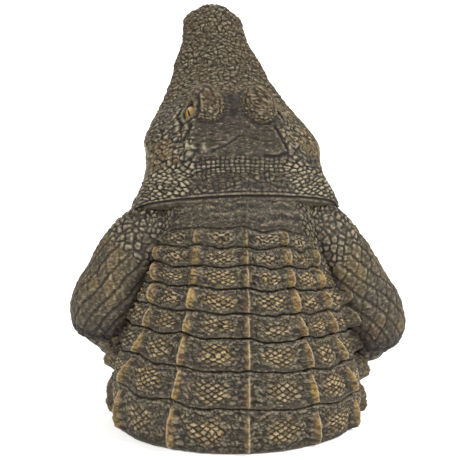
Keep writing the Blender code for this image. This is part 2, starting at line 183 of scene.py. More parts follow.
# The elbows hang at unlike heights, and the right arm lies closer to the head.
LEFT_ELBOW_LIFT = 7.0
RIGHT_ELBOW_DROP = 17.0
RIGHT_ARM_TUCK = 14.0

# %% The hand: a flat egg for the palm, and fingers by distance along, height and radius
PALM_AHEAD = 8.0
PALM_HEIGHT = 9.0
PALM_PLACE = (FOREARM_STATIONS[-1, 0], FOREARM_STATIONS[-1, 1] + PALM_AHEAD, PALM_HEIGHT)
PALM_RADII = (24.0, 27.0, 15.0)
FINGER_COUNT = 5
FINGER_FAN = math.radians(88.0)
FINGER_TURN = math.radians(8.0)
FINGER_START = 6.0
FINGER_STATIONS = [
    (0, 9, 9),
    (14, 10, 9.5),
    (22, 11, 9.8),
    (30, 9.5, 8.6),
    (38, 7.5, 7),
    (43, 7, 4.6),
    (50, 5.2, 3),
    (57, 2.4, 1.2),
]
FINGER_LENGTH_SHARES = [0.78, 0.96, 1.0, 0.9, 0.74]


# %% Read a station table on a curve without kinks
def smooth(table, at):
    """Give the values of a station table at the given places."""
    at = np.asarray(at, float)
    keys = table[:, 0]
    values = table[:, 1:]
    slopes = np.gradient(values, keys, axis=0)
    place = np.clip(at.ravel(), keys[0], keys[-1])
    row = np.clip(np.searchsorted(keys, place, side="right") - 1, 0, len(keys) - 2)
    span = (keys[row + 1] - keys[row])[:, None]
    t = (place[:, None] - keys[row][:, None]) / span
    start = (2 * t**3 - 3 * t**2 + 1) * values[row] + (t**3 - 2 * t**2 + t) * span * slopes[row]
    end = (3 * t**2 - 2 * t**3) * values[row + 1] + (t**3 - t**2) * span * slopes[row + 1]
    return (start + end).T.reshape((values.shape[1],) + at.shape)


def ramp(low, high, at):
    """Rise softly from 0 at low to 1 at high."""
    share = np.clip((at - low) / (high - low), 0, 1)
    return share * share * (3 - 2 * share)


def bell(distance, width):
    """Stand at 1 where the distance is 0, and die away within about twice the width."""
    return np.exp(-((distance / width) ** 2))


def world(across, forward, height):
    """Turn grid places into metres: X to the statue's left, -Y forward, Z up."""
    places = np.stack([across - MIDDLE_ACROSS, MIDDLE_FORWARD - forward, height], axis=-1)
    return places * UNIT


print("trunk at arc 100:", np.round(smooth(TRUNK_STATIONS, 100.0), 1))


# %% [markdown]
# A reptile's skin is never regular. Three things break up the carving: numbers that are fixed for
# each cell of a lattice, smooth noise made from them, and scales, which are the cells nearest to
# points scattered over the lattice. Nothing is drawn at random, so each run is the same.

# %% Fixed numbers, noise and scales
def fixed_numbers(cells, seed):
    """Give each lattice cell three numbers from 0 to 1 that are the same each time."""
    whole = cells.astype(np.int64)
    mixed = whole[..., 0] * 73856093 + whole[..., 1] * 19349663 + whole[..., 2] * 83492791 + seed * 7919
    draws = []
    for turn in range(3):
        mixed = ((mixed ^ (mixed >> 15)) * 2246822519) & 0xFFFFFFFF
        mixed = ((mixed ^ (mixed >> 13)) * 3266489917) & 0xFFFFFFFF
        draws.append(mixed / 0xFFFFFFFF)
    return np.stack(draws, axis=-1)


def noise(points, size, seed):
    """Read smooth noise from -1 to 1 whose lumps are about one size across."""
    place = points / size
    corner = np.floor(place)
    share = place - corner
    share = share * share * (3 - 2 * share)
    total = np.zeros(points.shape[:-1])
    for offset in itertools.product((0, 1), repeat=3):
        step = np.array(offset)
        weight = np.prod(np.where(step == 1, share, 1 - share), axis=-1)
        total += weight * fixed_numbers(corner + step, seed)[..., 0]
    return total * 2 - 1


def scales(points, size, seed, loose=0.75, flat=False):
    """Split space, or a plane, into cells: how far in from a cell's edge, and the cell's number."""
    place = points / size
    corner = np.floor(place)
    axes = np.array([1, 1, 0]) if flat else np.array([1, 1, 1])
    nearest = np.full(points.shape[:-1], 9.0)
    second = np.full(points.shape[:-1], 9.0)
    number = np.zeros(points.shape[:-1])
    for offset in itertools.product((-1, 0, 1), (-1, 0, 1), (0,) if flat else (-1, 0, 1)):
        cell = corner + np.array(offset)
        draw = fixed_numbers(cell, seed)
        gap = np.linalg.norm((place - cell - 0.5 - (draw - 0.5) * loose) * axes, axis=-1)
        closer = gap < nearest
        second = np.where(closer, nearest, np.minimum(second, gap))
        number = np.where(closer, draw[..., 0], number)
        nearest = np.where(closer, gap, nearest)
    return second - nearest, number


def warp(points, size, reach, seed):
    """Push points about by noise, so that what is drawn on them looks grown."""
    push = [noise(points, size, seed + turn) for turn in range(3)]
    return points + reach * np.stack(push, axis=-1)


def plane(first, second):
    """Put two surface coordinates where noise and scales expect points."""
    return np.stack([first, second, np.zeros_like(first)], axis=-1)


# %% [markdown]
# Each form is a grid primitive wrapped round its rings, like a sheet of clay round a core. The grid
# starts flat, its points are moved to the rings, and the two sides are merged into a tube. A first
# and a last ring of one point close the ends. The carving moves each point along the normal of the
# smooth form, and the paint reads its strengths from the same numbers. Sculpting by hand or a
# displacement texture would carve it too, but a lip or a crest is crisp only where a grid line runs.

# %% Wrap a grid round a form
def form_normals(points):
    """Find the outward normals of a grid whose columns run round a form."""
    round_step = np.roll(points, -1, axis=1) - np.roll(points, 1, axis=1)
    along_step = np.gradient(points, axis=0)
    normals = np.cross(round_step, along_step)
    normals /= np.maximum(np.linalg.norm(normals, axis=-1, keepdims=True), 1e-12)
    middle = points.mean(axis=1, keepdims=True)
    if (normals * (points - middle)).sum() < 0:
        normals = -normals
    return normals


def blur(values, reach):
    """Average a grid of values over a square of neighbours."""
    for axis in (0, 1):
        total = np.zeros_like(values)
        for step in range(-reach, reach + 1):
            total += np.roll(values, step, axis=axis)
        values = total / (2 * reach + 1)
    return values


# A place that lies this far below its surroundings is full of wash, and one that stands this far
# above them takes all of the dry brush, in grid units.
WASH_DEPTH = 0.5
BRUSH_HEIGHT = 0.75
# How much painted shade a face takes where it turns to the floor.
UNDERSIDE_SHADE = 0.9


def carve(points, relief, paint, reach=3, broad=0.0):
    """Move a form's points by its relief; note what lies low or stands proud, broad forms apart, and paint
    shade where the form faces the floor.
    """
    normals = form_normals(points)
    carved = points + normals * (relief * UNIT)[..., None]
    fine = relief - broad
    fine = fine - blur(fine, reach)
    layers = {"wash": np.clip(-fine / WASH_DEPTH, 0, 1)}
    layers["brush"] = np.clip(fine / BRUSH_HEIGHT, 0, 1) ** 2.0
    for layer in ("gold", "pale", "shade_and_tone", "claw"):
        layers[layer] = np.clip(paint.get(layer, 0) + np.zeros_like(relief), 0, 1)
    # Painted shade on faces that turn towards the floor.
    faces_down = ramp(0.15, 0.8, -normals[..., 2])
    layers["shade_and_tone"] = np.clip(layers["shade_and_tone"] + UNDERSIDE_SHADE * faces_down, 0, 1)
    layers["wash"] = np.clip(layers["wash"] + paint.get("ink", 0), 0, 1)
    return carved, layers


def wrap(name, points, layers):
    """Wrap a grid primitive round rings of points and give it its paint layers."""
    points = np.concatenate([points, points[:, :1]], axis=1)
    first = np.broadcast_to(points[:1].mean(axis=1, keepdims=True), points[:1].shape)
    last = np.broadcast_to(points[-1:].mean(axis=1, keepdims=True), points[-1:].shape)
    points = np.concatenate([first, points, last])
    rows, columns = points.shape[:2]
    bpy.ops.object.select_all(action="DESELECT")
    bpy.ops.mesh.primitive_grid_add(x_subdivisions=columns - 1, y_subdivisions=rows - 1, size=2)
    form = bpy.context.active_object
    form.name = name
    form.data.name = name
    flat = np.empty(len(form.data.vertices) * 3)
    form.data.vertices.foreach_get("co", flat)
    flat = flat.reshape(-1, 3)
    column = np.rint((flat[:, 0] + 1) / 2 * (columns - 1)).astype(int)
    row = np.rint((flat[:, 1] + 1) / 2 * (rows - 1)).astype(int)
    form.data.vertices.foreach_set("co", points[row, column].ravel())
    for layer, values in layers.items():
        values = np.concatenate([values, values[:, :1]], axis=1)
        values = np.concatenate([values[:1], values, values[-1:]])
        strengths = form.data.attributes.new(layer, "FLOAT", "POINT")
        strengths.data.foreach_set("value", values[row, column].ravel())
    form.data.update()
    bpy.ops.object.mode_set(mode="EDIT")
    bpy.ops.mesh.select_all(action="SELECT")
    bpy.ops.mesh.remove_doubles(threshold=0.000002)
    bpy.ops.object.mode_set(mode="OBJECT")
    return form


def finish_skin(forms, name, cut):
    """Join forms into one piece, cut it level with the floor and face it outward."""
    bpy.ops.object.select_all(action="DESELECT")
    for form in forms:
        form.select_set(True)
    bpy.context.view_layer.objects.active = forms[0]
    if len(forms) > 1:
        bpy.ops.object.join()
    piece = forms[0]
    piece.name = name
    piece.data.name = name
    bpy.ops.object.mode_set(mode="EDIT")
    bpy.ops.mesh.select_all(action="SELECT")
    if cut:
        bpy.ops.mesh.bisect(plane_co=(0, 0, 0), plane_no=(0, 0, 1), use_fill=True, clear_inner=True)
    bpy.ops.mesh.select_all(action="SELECT")
    bpy.ops.mesh.normals_make_consistent(inside=False)
    bpy.ops.object.mode_set(mode="OBJECT")
    # A face of the skin that lies in the cut is filled a second time; the second one is removed.
    piece.data.validate()
    bpy.ops.object.shade_smooth()
    triangles = sum(len(face.vertices) - 2 for face in piece.data.polygons)
    print(name, "has", triangles, "triangles and measures", [round(side, 3) for side in piece.dimensions])
    return piece


# %% [markdown]
# The trunk carries the rows of horny scutes. Each row laps over the one below it like roof tiles:
# a rounded lower lip, a crevice under it, and a long gentle fall towards the row above. Seven keels
# cross each row, and midway between two keels lies a patch of flat diamonds with fine wrinkles
# that run out from it. Grid lines follow the rows and the keels, so every lip and crest is crisp.
# One mesh would be too heavy at this fineness, so there are two, which meet in a crevice.

# %% Place points on the trunk
def fanned(arc, angle):
    """Turn even angles round the trunk to where the fan of keels puts them."""
    even = (np.degrees(angle) + 180) % 360 - 180
    turned = np.full_like(even, EVEN_DEGREES[0])
    for place, (near, far) in enumerate(zip(EVEN_DEGREES[:-1], EVEN_DEGREES[1:])):
        low = np.interp(arc, KEEL_FAN[:, 0], KEEL_FAN[:, place + 1])
        high = np.interp(arc, KEEL_FAN[:, 0], KEEL_FAN[:, place + 2])
        turned += np.clip((even - near) / (far - near), 0, 1) * (high - low)
    return np.radians(turned)


def trunk_surface(arc, angle):
    """Place points on the smooth trunk, by arc length up the back and even angle from the spine."""
    forward, height, lean, half_width, half_depth = smooth(TRUNK_STATIONS, arc)
    lean = np.radians(lean)
    angle = fanned(arc, angle)
    across = half_width * np.sin(angle) + TRUNK_SHIFT
    chest = np.interp(arc, CHEST_DEPTHS[:, 0], CHEST_DEPTHS[:, 1])
    dorsal = np.where(np.cos(angle) < 0, half_depth * chest, half_depth) * np.cos(angle)
    inward = half_depth - dorsal
    tilt = math.tan(ROW_TILT) * np.clip(arc / ROW_BORDERS[1], 0, 1)
    return world(across, forward + inward * np.cos(lean), height - inward * np.sin(lean) + across * tilt)


# %% Grid lines of the trunk, closer together at the borders of the rows
ROW_LINE_STEP = 0.87
LINE_CROWDING = 0.3
BACK_COLUMN_STEP = math.radians(0.5)
BELLY_COLUMN_STEP = math.radians(2.4)
BACK_REACH = math.radians(121.0)
TOP_LINE = 288.0
GROUND_LINES = [-12.0, -8.0, -4.0]
trunk_lines = list(GROUND_LINES)
for low, high in zip(ROW_BORDERS[:-1], ROW_BORDERS[1:]):
    count = int(round((high - low) / ROW_LINE_STEP))
    share = np.arange(count) / count
    crowded = share - LINE_CROWDING * np.sin(2 * math.pi * share) / (2 * math.pi)
    trunk_lines += list(low + (high - low) * crowded)
trunk_lines += list(np.linspace(ROW_BORDERS[-1], TOP_LINE, 9))
column_reach = int(BACK_REACH / BACK_COLUMN_STEP)
back_columns = np.arange(-column_reach, column_reach + 1) * BACK_COLUMN_STEP
belly_start = back_columns[-1]
belly_width = 2 * math.pi - 2 * belly_start
belly_count = int(belly_width / BELLY_COLUMN_STEP)
belly_columns = belly_start + belly_width * np.arange(1, belly_count) / belly_count
trunk_columns = np.concatenate([back_columns, belly_columns])
line, angle = np.meshgrid(trunk_lines, trunk_columns, indexing="ij")
angle = np.where(angle > math.pi, angle - 2 * math.pi, angle)
print("trunk grid", line.shape)

# %% Where each point lies in its row and between its keels
row = np.clip(np.searchsorted(ROW_BORDERS, line, side="right") - 1, 0, len(ROW_BORDERS) - 2)
row_low = ROW_BORDERS[row]
row_length = ROW_BORDERS[row + 1] - row_low
row_share = np.clip((line - row_low) / row_length, 0, 1)
above_border = row_share * row_length
below_border = (1 - row_share) * row_length
keel = np.clip(np.rint(angle / KEEL_SPACING), -KEELS_PER_SIDE, KEELS_PER_SIDE)
keel_share = np.clip(np.abs(angle - keel * KEEL_SPACING) / (KEEL_SPACING / 2), 0, 1)
climb = ROW_SCALLOP * (1 - keel_share) ** 1.5 * np.clip(line / ROW_BORDERS[1], 0, 1)
# Noise is read at places this far apart for each border, so that no two borders wander alike.
BORDER_APART = 7.3
next_row = np.rint(row + row_share) * BORDER_APART
waviness = 1.9 * noise(plane(angle * 5, next_row), 1.0, 11)
waviness += 0.9 * noise(plane(angle * 14, next_row), 1.0, 15)
trunk_base = trunk_surface(line + climb + waviness * np.clip(line / 20, 0, 1), angle)
width_here, depth_here = smooth(TRUNK_STATIONS, line)[3:]
turned = fanned(line, angle)
scute = np.clip(np.floor(angle / KEEL_SPACING), -KEELS_PER_SIDE, KEELS_PER_SIDE - 1)
left_side = fanned(line, (scute + 1) * KEEL_SPACING)
right_side = fanned(line, scute * KEEL_SPACING)
units_per_radian = np.hypot(width_here * np.cos(turned), depth_here * np.sin(turned))
beside_keel = (turned - fanned(line, keel * KEEL_SPACING)) * units_per_radian
from_midway = (turned - (left_side + right_side) / 2) * units_per_radian
scute_width = (left_side - right_side) * units_per_radian
trunk_units = trunk_base / UNIT
from_spine = np.degrees(np.abs(angle))
back = 1 - ramp(104, 116, from_spine)
belly = ramp(116, 132, from_spine)
# Degrees from the spine at which the shoulder's beads begin, by arc length up the back.
SHOULDER_LINES = [115, 137, 160, 185, 205, 225, 250]
SHOULDER_DEGREES = [125, 102, 84, 70, 60, 52, 46]
shoulder_limit = np.interp(line, SHOULDER_LINES, SHOULDER_DEGREES)
shoulder_limit = shoulder_limit + 5 * np.sin(math.pi * row_share) - 3
shoulder = ramp(-3, 5, from_spine - shoulder_limit) * (1 - belly)
carved_back = back * (1 - shoulder)

# %% Lips and crevices
LIP_LENGTH = 1.7
CREVICE_BELOW = 0.85
CREVICE_ABOVE = 0.6
swell_across = np.interp(keel_share, [0, 0.24, 0.45, 1], [0.55, 0.3, 0.45, 1])
lip = 1 - np.exp(-above_border / LIP_LENGTH)
fading = 1 - ramp(208, 232, line)
swell = SCUTE_SWELL * swell_across * lip * (1 - 0.3 * row_share**2) * (0.25 + 0.75 * fading)
crevice = bell(below_border, CREVICE_BELOW) + bell(above_border, CREVICE_ABOVE)
crevice_strength = carved_back * np.interp(line, [165, 190, 217, 235], [1, 0.7, 0.4, 0])
border_depth = GROOVE_DEPTH * np.interp(line, [165, 190, 217, 235], [1, 0.8, 0.5, 0.2])

# %% Keels, each a blade that leans outward
low_rows = np.interp(row_share, [0, 0.05, 0.13, 0.3, 0.6, 0.85, 1], [0, 0.2, 0.85, 1, 0.78, 0.35, 0.05])
high_rows = np.interp(row_share, [0, 0.1, 0.25, 0.5, 0.75, 0.9, 1], [0, 0.4, 0.85, 1, 0.8, 0.35, 0])
lengthwise = np.where(row < 4, low_rows, high_rows)
leaf = ramp(0.0, 0.25, row_share) * (1 - ramp(0.55, 1.0, row_share))
# How far a keel's inner and outer flanks reach, from the spine's keel to the outermost. Higher up,
# the flanks of the keels next to the spine are wider.
FLANK_WIDTHS = np.array([[4.0, 2.5], [5.0, 2.5], [4.4, 3.0], [6.0, 2.6]])
keel_number = np.abs(keel).astype(int)
outer = np.sign(beside_keel) * np.where(keel == 0, -1, np.sign(keel)) > 0
next_to_spine = keel_number == 1
flank = FLANK_WIDTHS[keel_number, outer.astype(int)]
flank += 0.7 * (next_to_spine & outer & (row >= 4))
flank += 0.8 * (next_to_spine & ~outer & (row >= 3))
keel_reach = np.abs(beside_keel) / (flank * (0.45 + 0.55 * leaf))
blade = np.exp(-(np.sqrt(keel_reach**2 + 0.03) - 0.17))
keel_top = np.where(keel_number == KEELS_PER_SIDE, SIDE_KEEL_HEIGHT, KEEL_HEIGHT)
keel_rise = keel_top * ROW_KEEL_SHARES[row] * lengthwise * blade * (1 - ramp(1.6, 2.6, keel_reach))
keel_rise = keel_rise * (1 - 0.75 * ramp(214, 219, line))
foot = 0.9 * bell(keel_reach - 2.1, 0.5) * lengthwise * ROW_KEEL_SHARES[row]
trunk_relief = swell - border_depth * np.clip(crevice, 0, 1) + keel_rise - foot
print("highest keel stands", round(float(keel_rise.max() * UNIT * 1000), 1), "mm")

# %% Diamonds and the wrinkles round them
DIAMOND_WIDTH = 9.0
DIAMOND_HEIGHT = 5.4
DIAMOND_WOBBLE = 0.34
PATCH_MIDDLE = 0.52
PATCH_HALF_LENGTH = 0.3
patch_reach = np.clip(0.28 * scute_width, 7, 17)
patch_up = (row_share - PATCH_MIDDLE) * row_length
diamond_height = DIAMOND_HEIGHT * np.sqrt(row_length / 37)
patch_ring = np.hypot(from_midway / patch_reach, (row_share - PATCH_MIDDLE) / PATCH_HALF_LENGTH)
patch = (1 - ramp(0.75, 1.2, patch_ring + 0.3 * noise(trunk_units, 8.0, 3))) * carved_back
patch = patch * (1 - 0.75 * ramp(212, 220, line))
diamonds_across = from_midway / DIAMOND_WIDTH
diamonds_up = patch_up / diamond_height
rising = diamonds_across + diamonds_up + DIAMOND_WOBBLE * noise(trunk_units, 10.0, 4)
falling = diamonds_across - diamonds_up + DIAMOND_WOBBLE * noise(trunk_units, 10.0, 5)
diamond_edge = np.minimum(np.abs(rising - np.rint(rising)), np.abs(falling - np.rint(falling)))
diamond = ramp(0.02, 0.22, diamond_edge)
diamond_cell = np.stack([np.floor(rising), np.floor(falling), row + 10 * scute], axis=-1)
diamond_number = fixed_numbers(diamond_cell, 16)[..., 0]
turn = np.arctan2(patch_up / (0.62 * row_length), from_midway / patch_reach)
wrinkle_place = warp(plane(turn * 6.0, patch_ring * 3.4 + row * 9.0), 1.5, 0.4, 17)
wrinkle_edge, wrinkle_number = scales(wrinkle_place, 1.0, 6, 0.9, True)
wrinkle = ramp(0.0, 0.35, wrinkle_edge) * (0.5 + 0.9 * wrinkle_number)
streaks = noise(plane(from_midway / 3.2 + 31 * scute, line * 1.0), 2.3, 19)
calm = ramp(0.08, 0.26, row_share)
wrinkled = (1 - patch) * carved_back * (0.35 + 0.65 * calm) * (1 - 0.45 * blade)
wrinkled *= 1 - 0.5 * ramp(205, 222, line)
trunk_relief += patch * ((1.0 + 0.9 * diamond_number) * diamond - 0.8)
trunk_relief += wrinkled * (1.35 * wrinkle - 0.7 + 0.8 * streaks)
trunk_relief *= carved_back

# %% Beads on the shoulders and flanks, broad bands on the belly
BEAD_SIZE = (6.6, 4.6)
BELLY_SCALE_WIDTH = 17.0
BELLY_BAND_HEIGHT = 15.0
outward = np.abs(turned) * 100
bead_across = (outward * 0.82 - line * 0.57) / BEAD_SIZE[0]
bead_along = (outward * 0.57 + line * 0.82) / BEAD_SIZE[1]
bead_edge, bead_number = scales(warp(plane(bead_across, bead_along), 2.5, 0.3, 18), 1.0, 8, 0.6, True)
bead = ramp(0.0, 0.4, bead_edge) * (0.6 + 0.8 * bead_number)
beaded = (1 - carved_back) * (1 - belly)
trunk_relief += beaded * (1.7 * bead + 0.2)
belly_across = angle * 100 / BELLY_SCALE_WIDTH
belly_up = line / BELLY_BAND_HEIGHT
scale_edge = np.abs(belly_across - np.rint(belly_across)) * 1.1
band_edge = np.abs(belly_up - np.rint(belly_up))
band = ramp(0.02, 0.14, np.minimum(scale_edge, band_edge))
trunk_relief += belly * (1.2 * band + 0.4)
trunk_relief += 0.35 * noise(trunk_units, 8.0, 9) + 0.22 * noise(trunk_units, 3.4, 10)

# %% Fine folds below the neck, where the back runs in under the hood
fold_lines = noise(plane(angle * 4, line / 1.1), 2.0, 12)
trunk_relief += ramp(208, 228, line) * carved_back * 0.8 * fold_lines
trunk_relief -= 2.5 * ramp(238, 252, line) * (1 - ramp(55, 75, from_spine))

# %% Paint layers of the trunk
ROW_GOLD = [1, 1, 1, 1, 1, 1, 0.9, 0.5, 0.0]
# The outermost keels carry less ochre, as painted shade on the flanks.
KEEL_GOLD = np.array([0.7, 1, 1, 0.4])
row_gold = np.interp(row, range(9), ROW_GOLD)
keel_gold = (1 - ramp(0.6, 1.2, keel_reach)) * ramp(0.05, 0.3, leaf) * KEEL_GOLD[keel_number]
keel_gold *= np.where(outer, np.where(row >= 4, 0.75, 0.35), 1)
keel_gold *= 0.75 + 0.5 * noise(trunk_units, 9.0, 13) + 0.4 * noise(trunk_units, 3.0, 53)
patch_gold = patch * diamond * (0.35 + 0.85 * diamond_number) * (0.8 + 0.5 * noise(trunk_units, 26.0, 14))
diamond_ink = patch * (1 - ramp(0.0, 0.15, diamond_edge))
# Dark wash at the foot of each keel, which also stands in as painted shade beside the blade.
keel_wash_and_shade = bell(keel_reach - 1.75, 0.4) * leaf * carved_back * ROW_KEEL_SHARES[row]
split_keel = bell(beside_keel, 0.8) * leaf * ((keel == 1) & (row >= 5) & (row <= 6))
border_ink = bell(np.minimum(above_border * 1.4, below_border), 0.5) * crevice_strength
border_ink *= 0.45 + 0.45 * noise(plane(angle * 9, next_row), 1.0, 24)
# Painted shade on the trunk's flanks beside the forelegs, and low on the trunk near the floor.
flank_start = np.where(angle > 0, 66, 56) + 22 * (1 - ramp(60, 95, line))
flank_shade = ramp(0, 20, np.degrees(np.abs(turned)) - flank_start) * (1 - belly)
ground_shade = 1 - ramp(2, 22, line)
# These dark marks go into the wash: inks in the crevices and along the diamonds and keels, and painted shade
# on the flanks and near the floor.
trunk_inks_and_shade = [border_ink, 0.85 * diamond_ink, 0.35 * keel_wash_and_shade, 0.8 * split_keel]
trunk_inks_and_shade += [0.6 * flank_shade, 0.35 * ground_shade]
# A band of painted shade along the lower lip of each row; the shade layer also darkens the beaded shoulders
# and takes the flank shade.
lip_shade = 1 - ramp(0.04, 0.3, row_share)
trunk_paint = {
    "gold": row_gold * carved_back * np.maximum(keel_gold, patch_gold),
    "ink": np.maximum.reduce(trunk_inks_and_shade),
    "pale": belly * 0.6,
    "shade_and_tone": 0.5 * lip_shade * carved_back + 0.3 * shoulder + 0.9 * flank_shade,
}

# %% Carve the trunk, brush its crests and wrap it in two pieces
broad_forms = (swell + keel_rise - foot) * carved_back
trunk_points, trunk_layers = carve(trunk_base, trunk_relief, trunk_paint, 5, broad_forms)
crest = bell(beside_keel, 0.75) * ramp(0.1, 0.4, leaf) * ROW_KEEL_SHARES[row] * (1 - split_keel)
crest = crest * (1 - ramp(212, 218, line)) * carved_back
keel_slope = bell(keel_reach, 1) * carved_back
lip_slope = bell(above_border, 3.0) * carved_back
trunk_layers["brush"] *= (1 - 0.5 * keel_slope) * (1 - 0.7 * lip_slope)
trunk_layers["brush"] *= (0.38 + 0.32 * patch) * (1 - 0.6 * flank_shade)
trunk_layers["brush"] = np.clip(trunk_layers["brush"] + 0.8 * crest, 0, 1)
trunk_layers["wash"] *= (1 - 0.9 * np.clip(crest, 0, 1)) * (1 - 0.35 * wrinkled)
trunk_layers["wash"] *= 1 - 0.65 * np.clip(crevice, 0, 1) * carved_back
SEAM_BORDER = ROW_BORDERS[3]
seam = int(np.searchsorted(trunk_lines, SEAM_BORDER))
trunk_skins = []
for name, rows in (("trunk_skin_lower", slice(0, seam + 1)), ("trunk_skin_upper", slice(seam, None))):
    part_layers = {layer: values[rows] for layer, values in trunk_layers.items()}
    trunk_skins.append(finish_skin([wrap(name, trunk_points[rows], part_layers)], name, rows.start == 0))


# %% [markdown]
# The head has a frame of its own: along the snout, across and up. Its stations give half a section
# each, from the middle of the skull over the cheek and the lip to the throat. The eyelids and the
# nose are egg shapes: points inside an egg are pushed out to its shell, so the skin runs over them.
# Spheres joined to the head by a Boolean would leave a hard edge and break the lines of the grid.

# %% Place points on the head
def head_surface(along, across, up):
    """Place points of the head's own frame in the world."""
    behind = np.maximum(-along, 0)
    ahead = np.maximum(along, 0)
    radius = NAPE_LENGTH / NAPE_BEND
    pitch = HEAD_PITCH + behind / radius
    roll = HEAD_ROLL * np.clip(1 - behind / NAPE_LENGTH, 0, 1)
    lever = up + ROLL_AXIS_DEPTH
    rolled_across = across * np.cos(roll) - lever * np.sin(roll)
    rolled_up = lever * np.cos(roll) + across * np.sin(roll) - ROLL_AXIS_DEPTH
    forward = SKULL_FORWARD + ahead * math.cos(HEAD_PITCH) - radius * (np.sin(pitch) - math.sin(HEAD_PITCH))
    height = SKULL_HEIGHT + ahead * math.sin(HEAD_PITCH) - radius * (math.cos(HEAD_PITCH) - np.cos(pitch))
    drift = HEAD_SHIFT + ahead * math.tan(HEAD_YAW)
    forward = forward - rolled_up * np.sin(pitch)
    return world(rolled_across + drift, forward, height + rolled_up * np.cos(pitch))


def head_outline(along):
    """Draw half of each head section: the 13 corners from the top to the throat."""
    top, flat, shoulder, full, lip, lip_up, jaw, jaw_up, throat, mouth = smooth(HEAD_STATIONS, along)
    across = [0 * flat, flat * 0.55, flat, flat + (lip - flat) * 0.55, flat + (lip - flat) * 0.86]
    up = [top, top + (shoulder - top) * 0.35, shoulder]
    up += [shoulder + (lip_up - shoulder) * full, shoulder + (lip_up - shoulder) * (full + 0.28)]
    across += [lip, lip - mouth * 1.3, lip - mouth * 0.7 - (lip - jaw) * 0.1]
    up += [lip_up + 1, lip_up - mouth * 0.6 - 1, lip_up - mouth * 1.6 - 2]
    across += [jaw + (lip - jaw) * 0.35, jaw * 0.9, jaw * 0.6, jaw * 0.3, 0 * jaw]
    up += [lip_up + (jaw_up - lip_up) * 0.6, jaw_up, throat + (jaw_up - throat) * 0.4]
    up += [throat + (jaw_up - throat) * 0.1, throat]
    return np.array(across), np.array(up)


def push_out(places, middle, radii):
    """Push points that lie inside an egg out to its shell."""
    offset = (places - np.array(middle)) / np.array(radii)
    reach = np.maximum(np.linalg.norm(offset, axis=-1, keepdims=True), 0.05)
    shell = np.maximum(reach, 1) + 0.05 * bell(reach - 1, 0.12)
    return np.array(middle) + offset / reach * shell * np.array(radii)


# %% Grid of the head
NAPE_LINES = 64
FACE_LINES = 267
NOSE_LINES = 14
# Columns from each corner of the half section to the next, more where the carving is finest.
CORNER_COLUMNS = [22, 20, 27, 18, 10, 5, 5, 8, 7, 6, 4, 4]
nape_line = np.linspace(-78, -30, NAPE_LINES, endpoint=False)
face_line = np.linspace(-30, 255, FACE_LINES)
nose_line = np.linspace(255.8, 263, NOSE_LINES)
head_line = np.concatenate([nape_line, face_line, nose_line])
corner_steps = [first + np.arange(count) / count for first, count in enumerate(CORNER_COLUMNS)]
corner = np.concatenate(corner_steps + [[len(CORNER_COLUMNS)]])
section_across, section_up = head_outline(head_line)
corners = np.arange(len(CORNER_COLUMNS) + 1.0)
half_across = smooth(np.column_stack([corners, section_across]), corner)
half_up = smooth(np.column_stack([corners, section_up]), corner)
side_across = np.concatenate([half_across, -half_across[:, -2:0:-1]], axis=1)
side_up = np.concatenate([half_up, half_up[:, -2:0:-1]], axis=1)
level = np.zeros_like(side_across)
corner_place = np.concatenate([corner, corner[-2:0:-1]])[None, :] + level
head_places = np.stack([head_line[:, None] + level, side_across, side_up], axis=-1)
eye_bumps = [np.array(EYE_BUMP_PLACE) * np.array([1, side, 1]) for side in (1, -1)]
for middle in eye_bumps:
    head_places = push_out(head_places, middle, EYE_BUMP_RADII)
head_places = push_out(head_places, NOSE_BUMP_PLACE, NOSE_BUMP_RADII)
along, across, up = np.moveaxis(head_places, -1, 0)
head_base = head_surface(along, across, up)
wide = np.abs(across)
print("head grid", along.shape)

# %% Regions of the head
nape = 1 - ramp(-34, -29, along)
snout = ramp(62, 92, along) * (1 - ramp(6.0, 7.2, corner_place))
lower_jaw = ramp(6.4, 7.4, corner_place)
above_jaw = 1 - lower_jaw
lid_rings = np.full_like(along, 9.0)
for middle in eye_bumps:
    ring = np.linalg.norm((head_places - middle) / np.array(EYE_BUMP_RADII), axis=-1)
    lid_rings = np.minimum(lid_rings, ring)
lids = 1 - ramp(1.02, 1.14, lid_rings)
skull = (1 - ramp(60, 78, along)) * (1 - nape) * (1 - ramp(38, 48, wide)) * (1 - lids) * above_jaw
cheek = np.clip(1 - nape - snout - skull - lids - lower_jaw, 0, 1)
print("the lids cover", int((lids > 0.5).sum()), "of", lids.size, "points")

# %% Scales of the snout, cheeks and jaw
SNOUT_SCALE = 6.6
CHEEK_SCALE = 9.0
JAW_SCALE = 13.0
grown = warp(head_places, 7.0, 1.8, 20)
snout_edge, snout_number = scales(grown, SNOUT_SCALE, 21, 0.95)
rugged = ramp(0.0, 0.26, snout_edge) * (0.7 + 0.6 * snout_number)
rugged = rugged + 0.8 * noise(grown, 3.6, 22) + 0.5 * noise(head_places, 15.0, 23)
cheek_edge, cheek_number = scales(grown, CHEEK_SCALE, 24)
cheek_scale = ramp(0.0, 0.17, cheek_edge) * (0.6 + 0.5 * cheek_number) + 0.5 * noise(grown, 4.0, 25)
jaw_edge, _ = scales(head_places, JAW_SCALE, 26)
jaw_scale = ramp(0.02, 0.2, jaw_edge)
head_relief = snout * 1.2 * (rugged - 0.6) + cheek * 1.7 * (cheek_scale - 0.6)
head_relief += lower_jaw * 0.9 * (jaw_scale - 0.5)

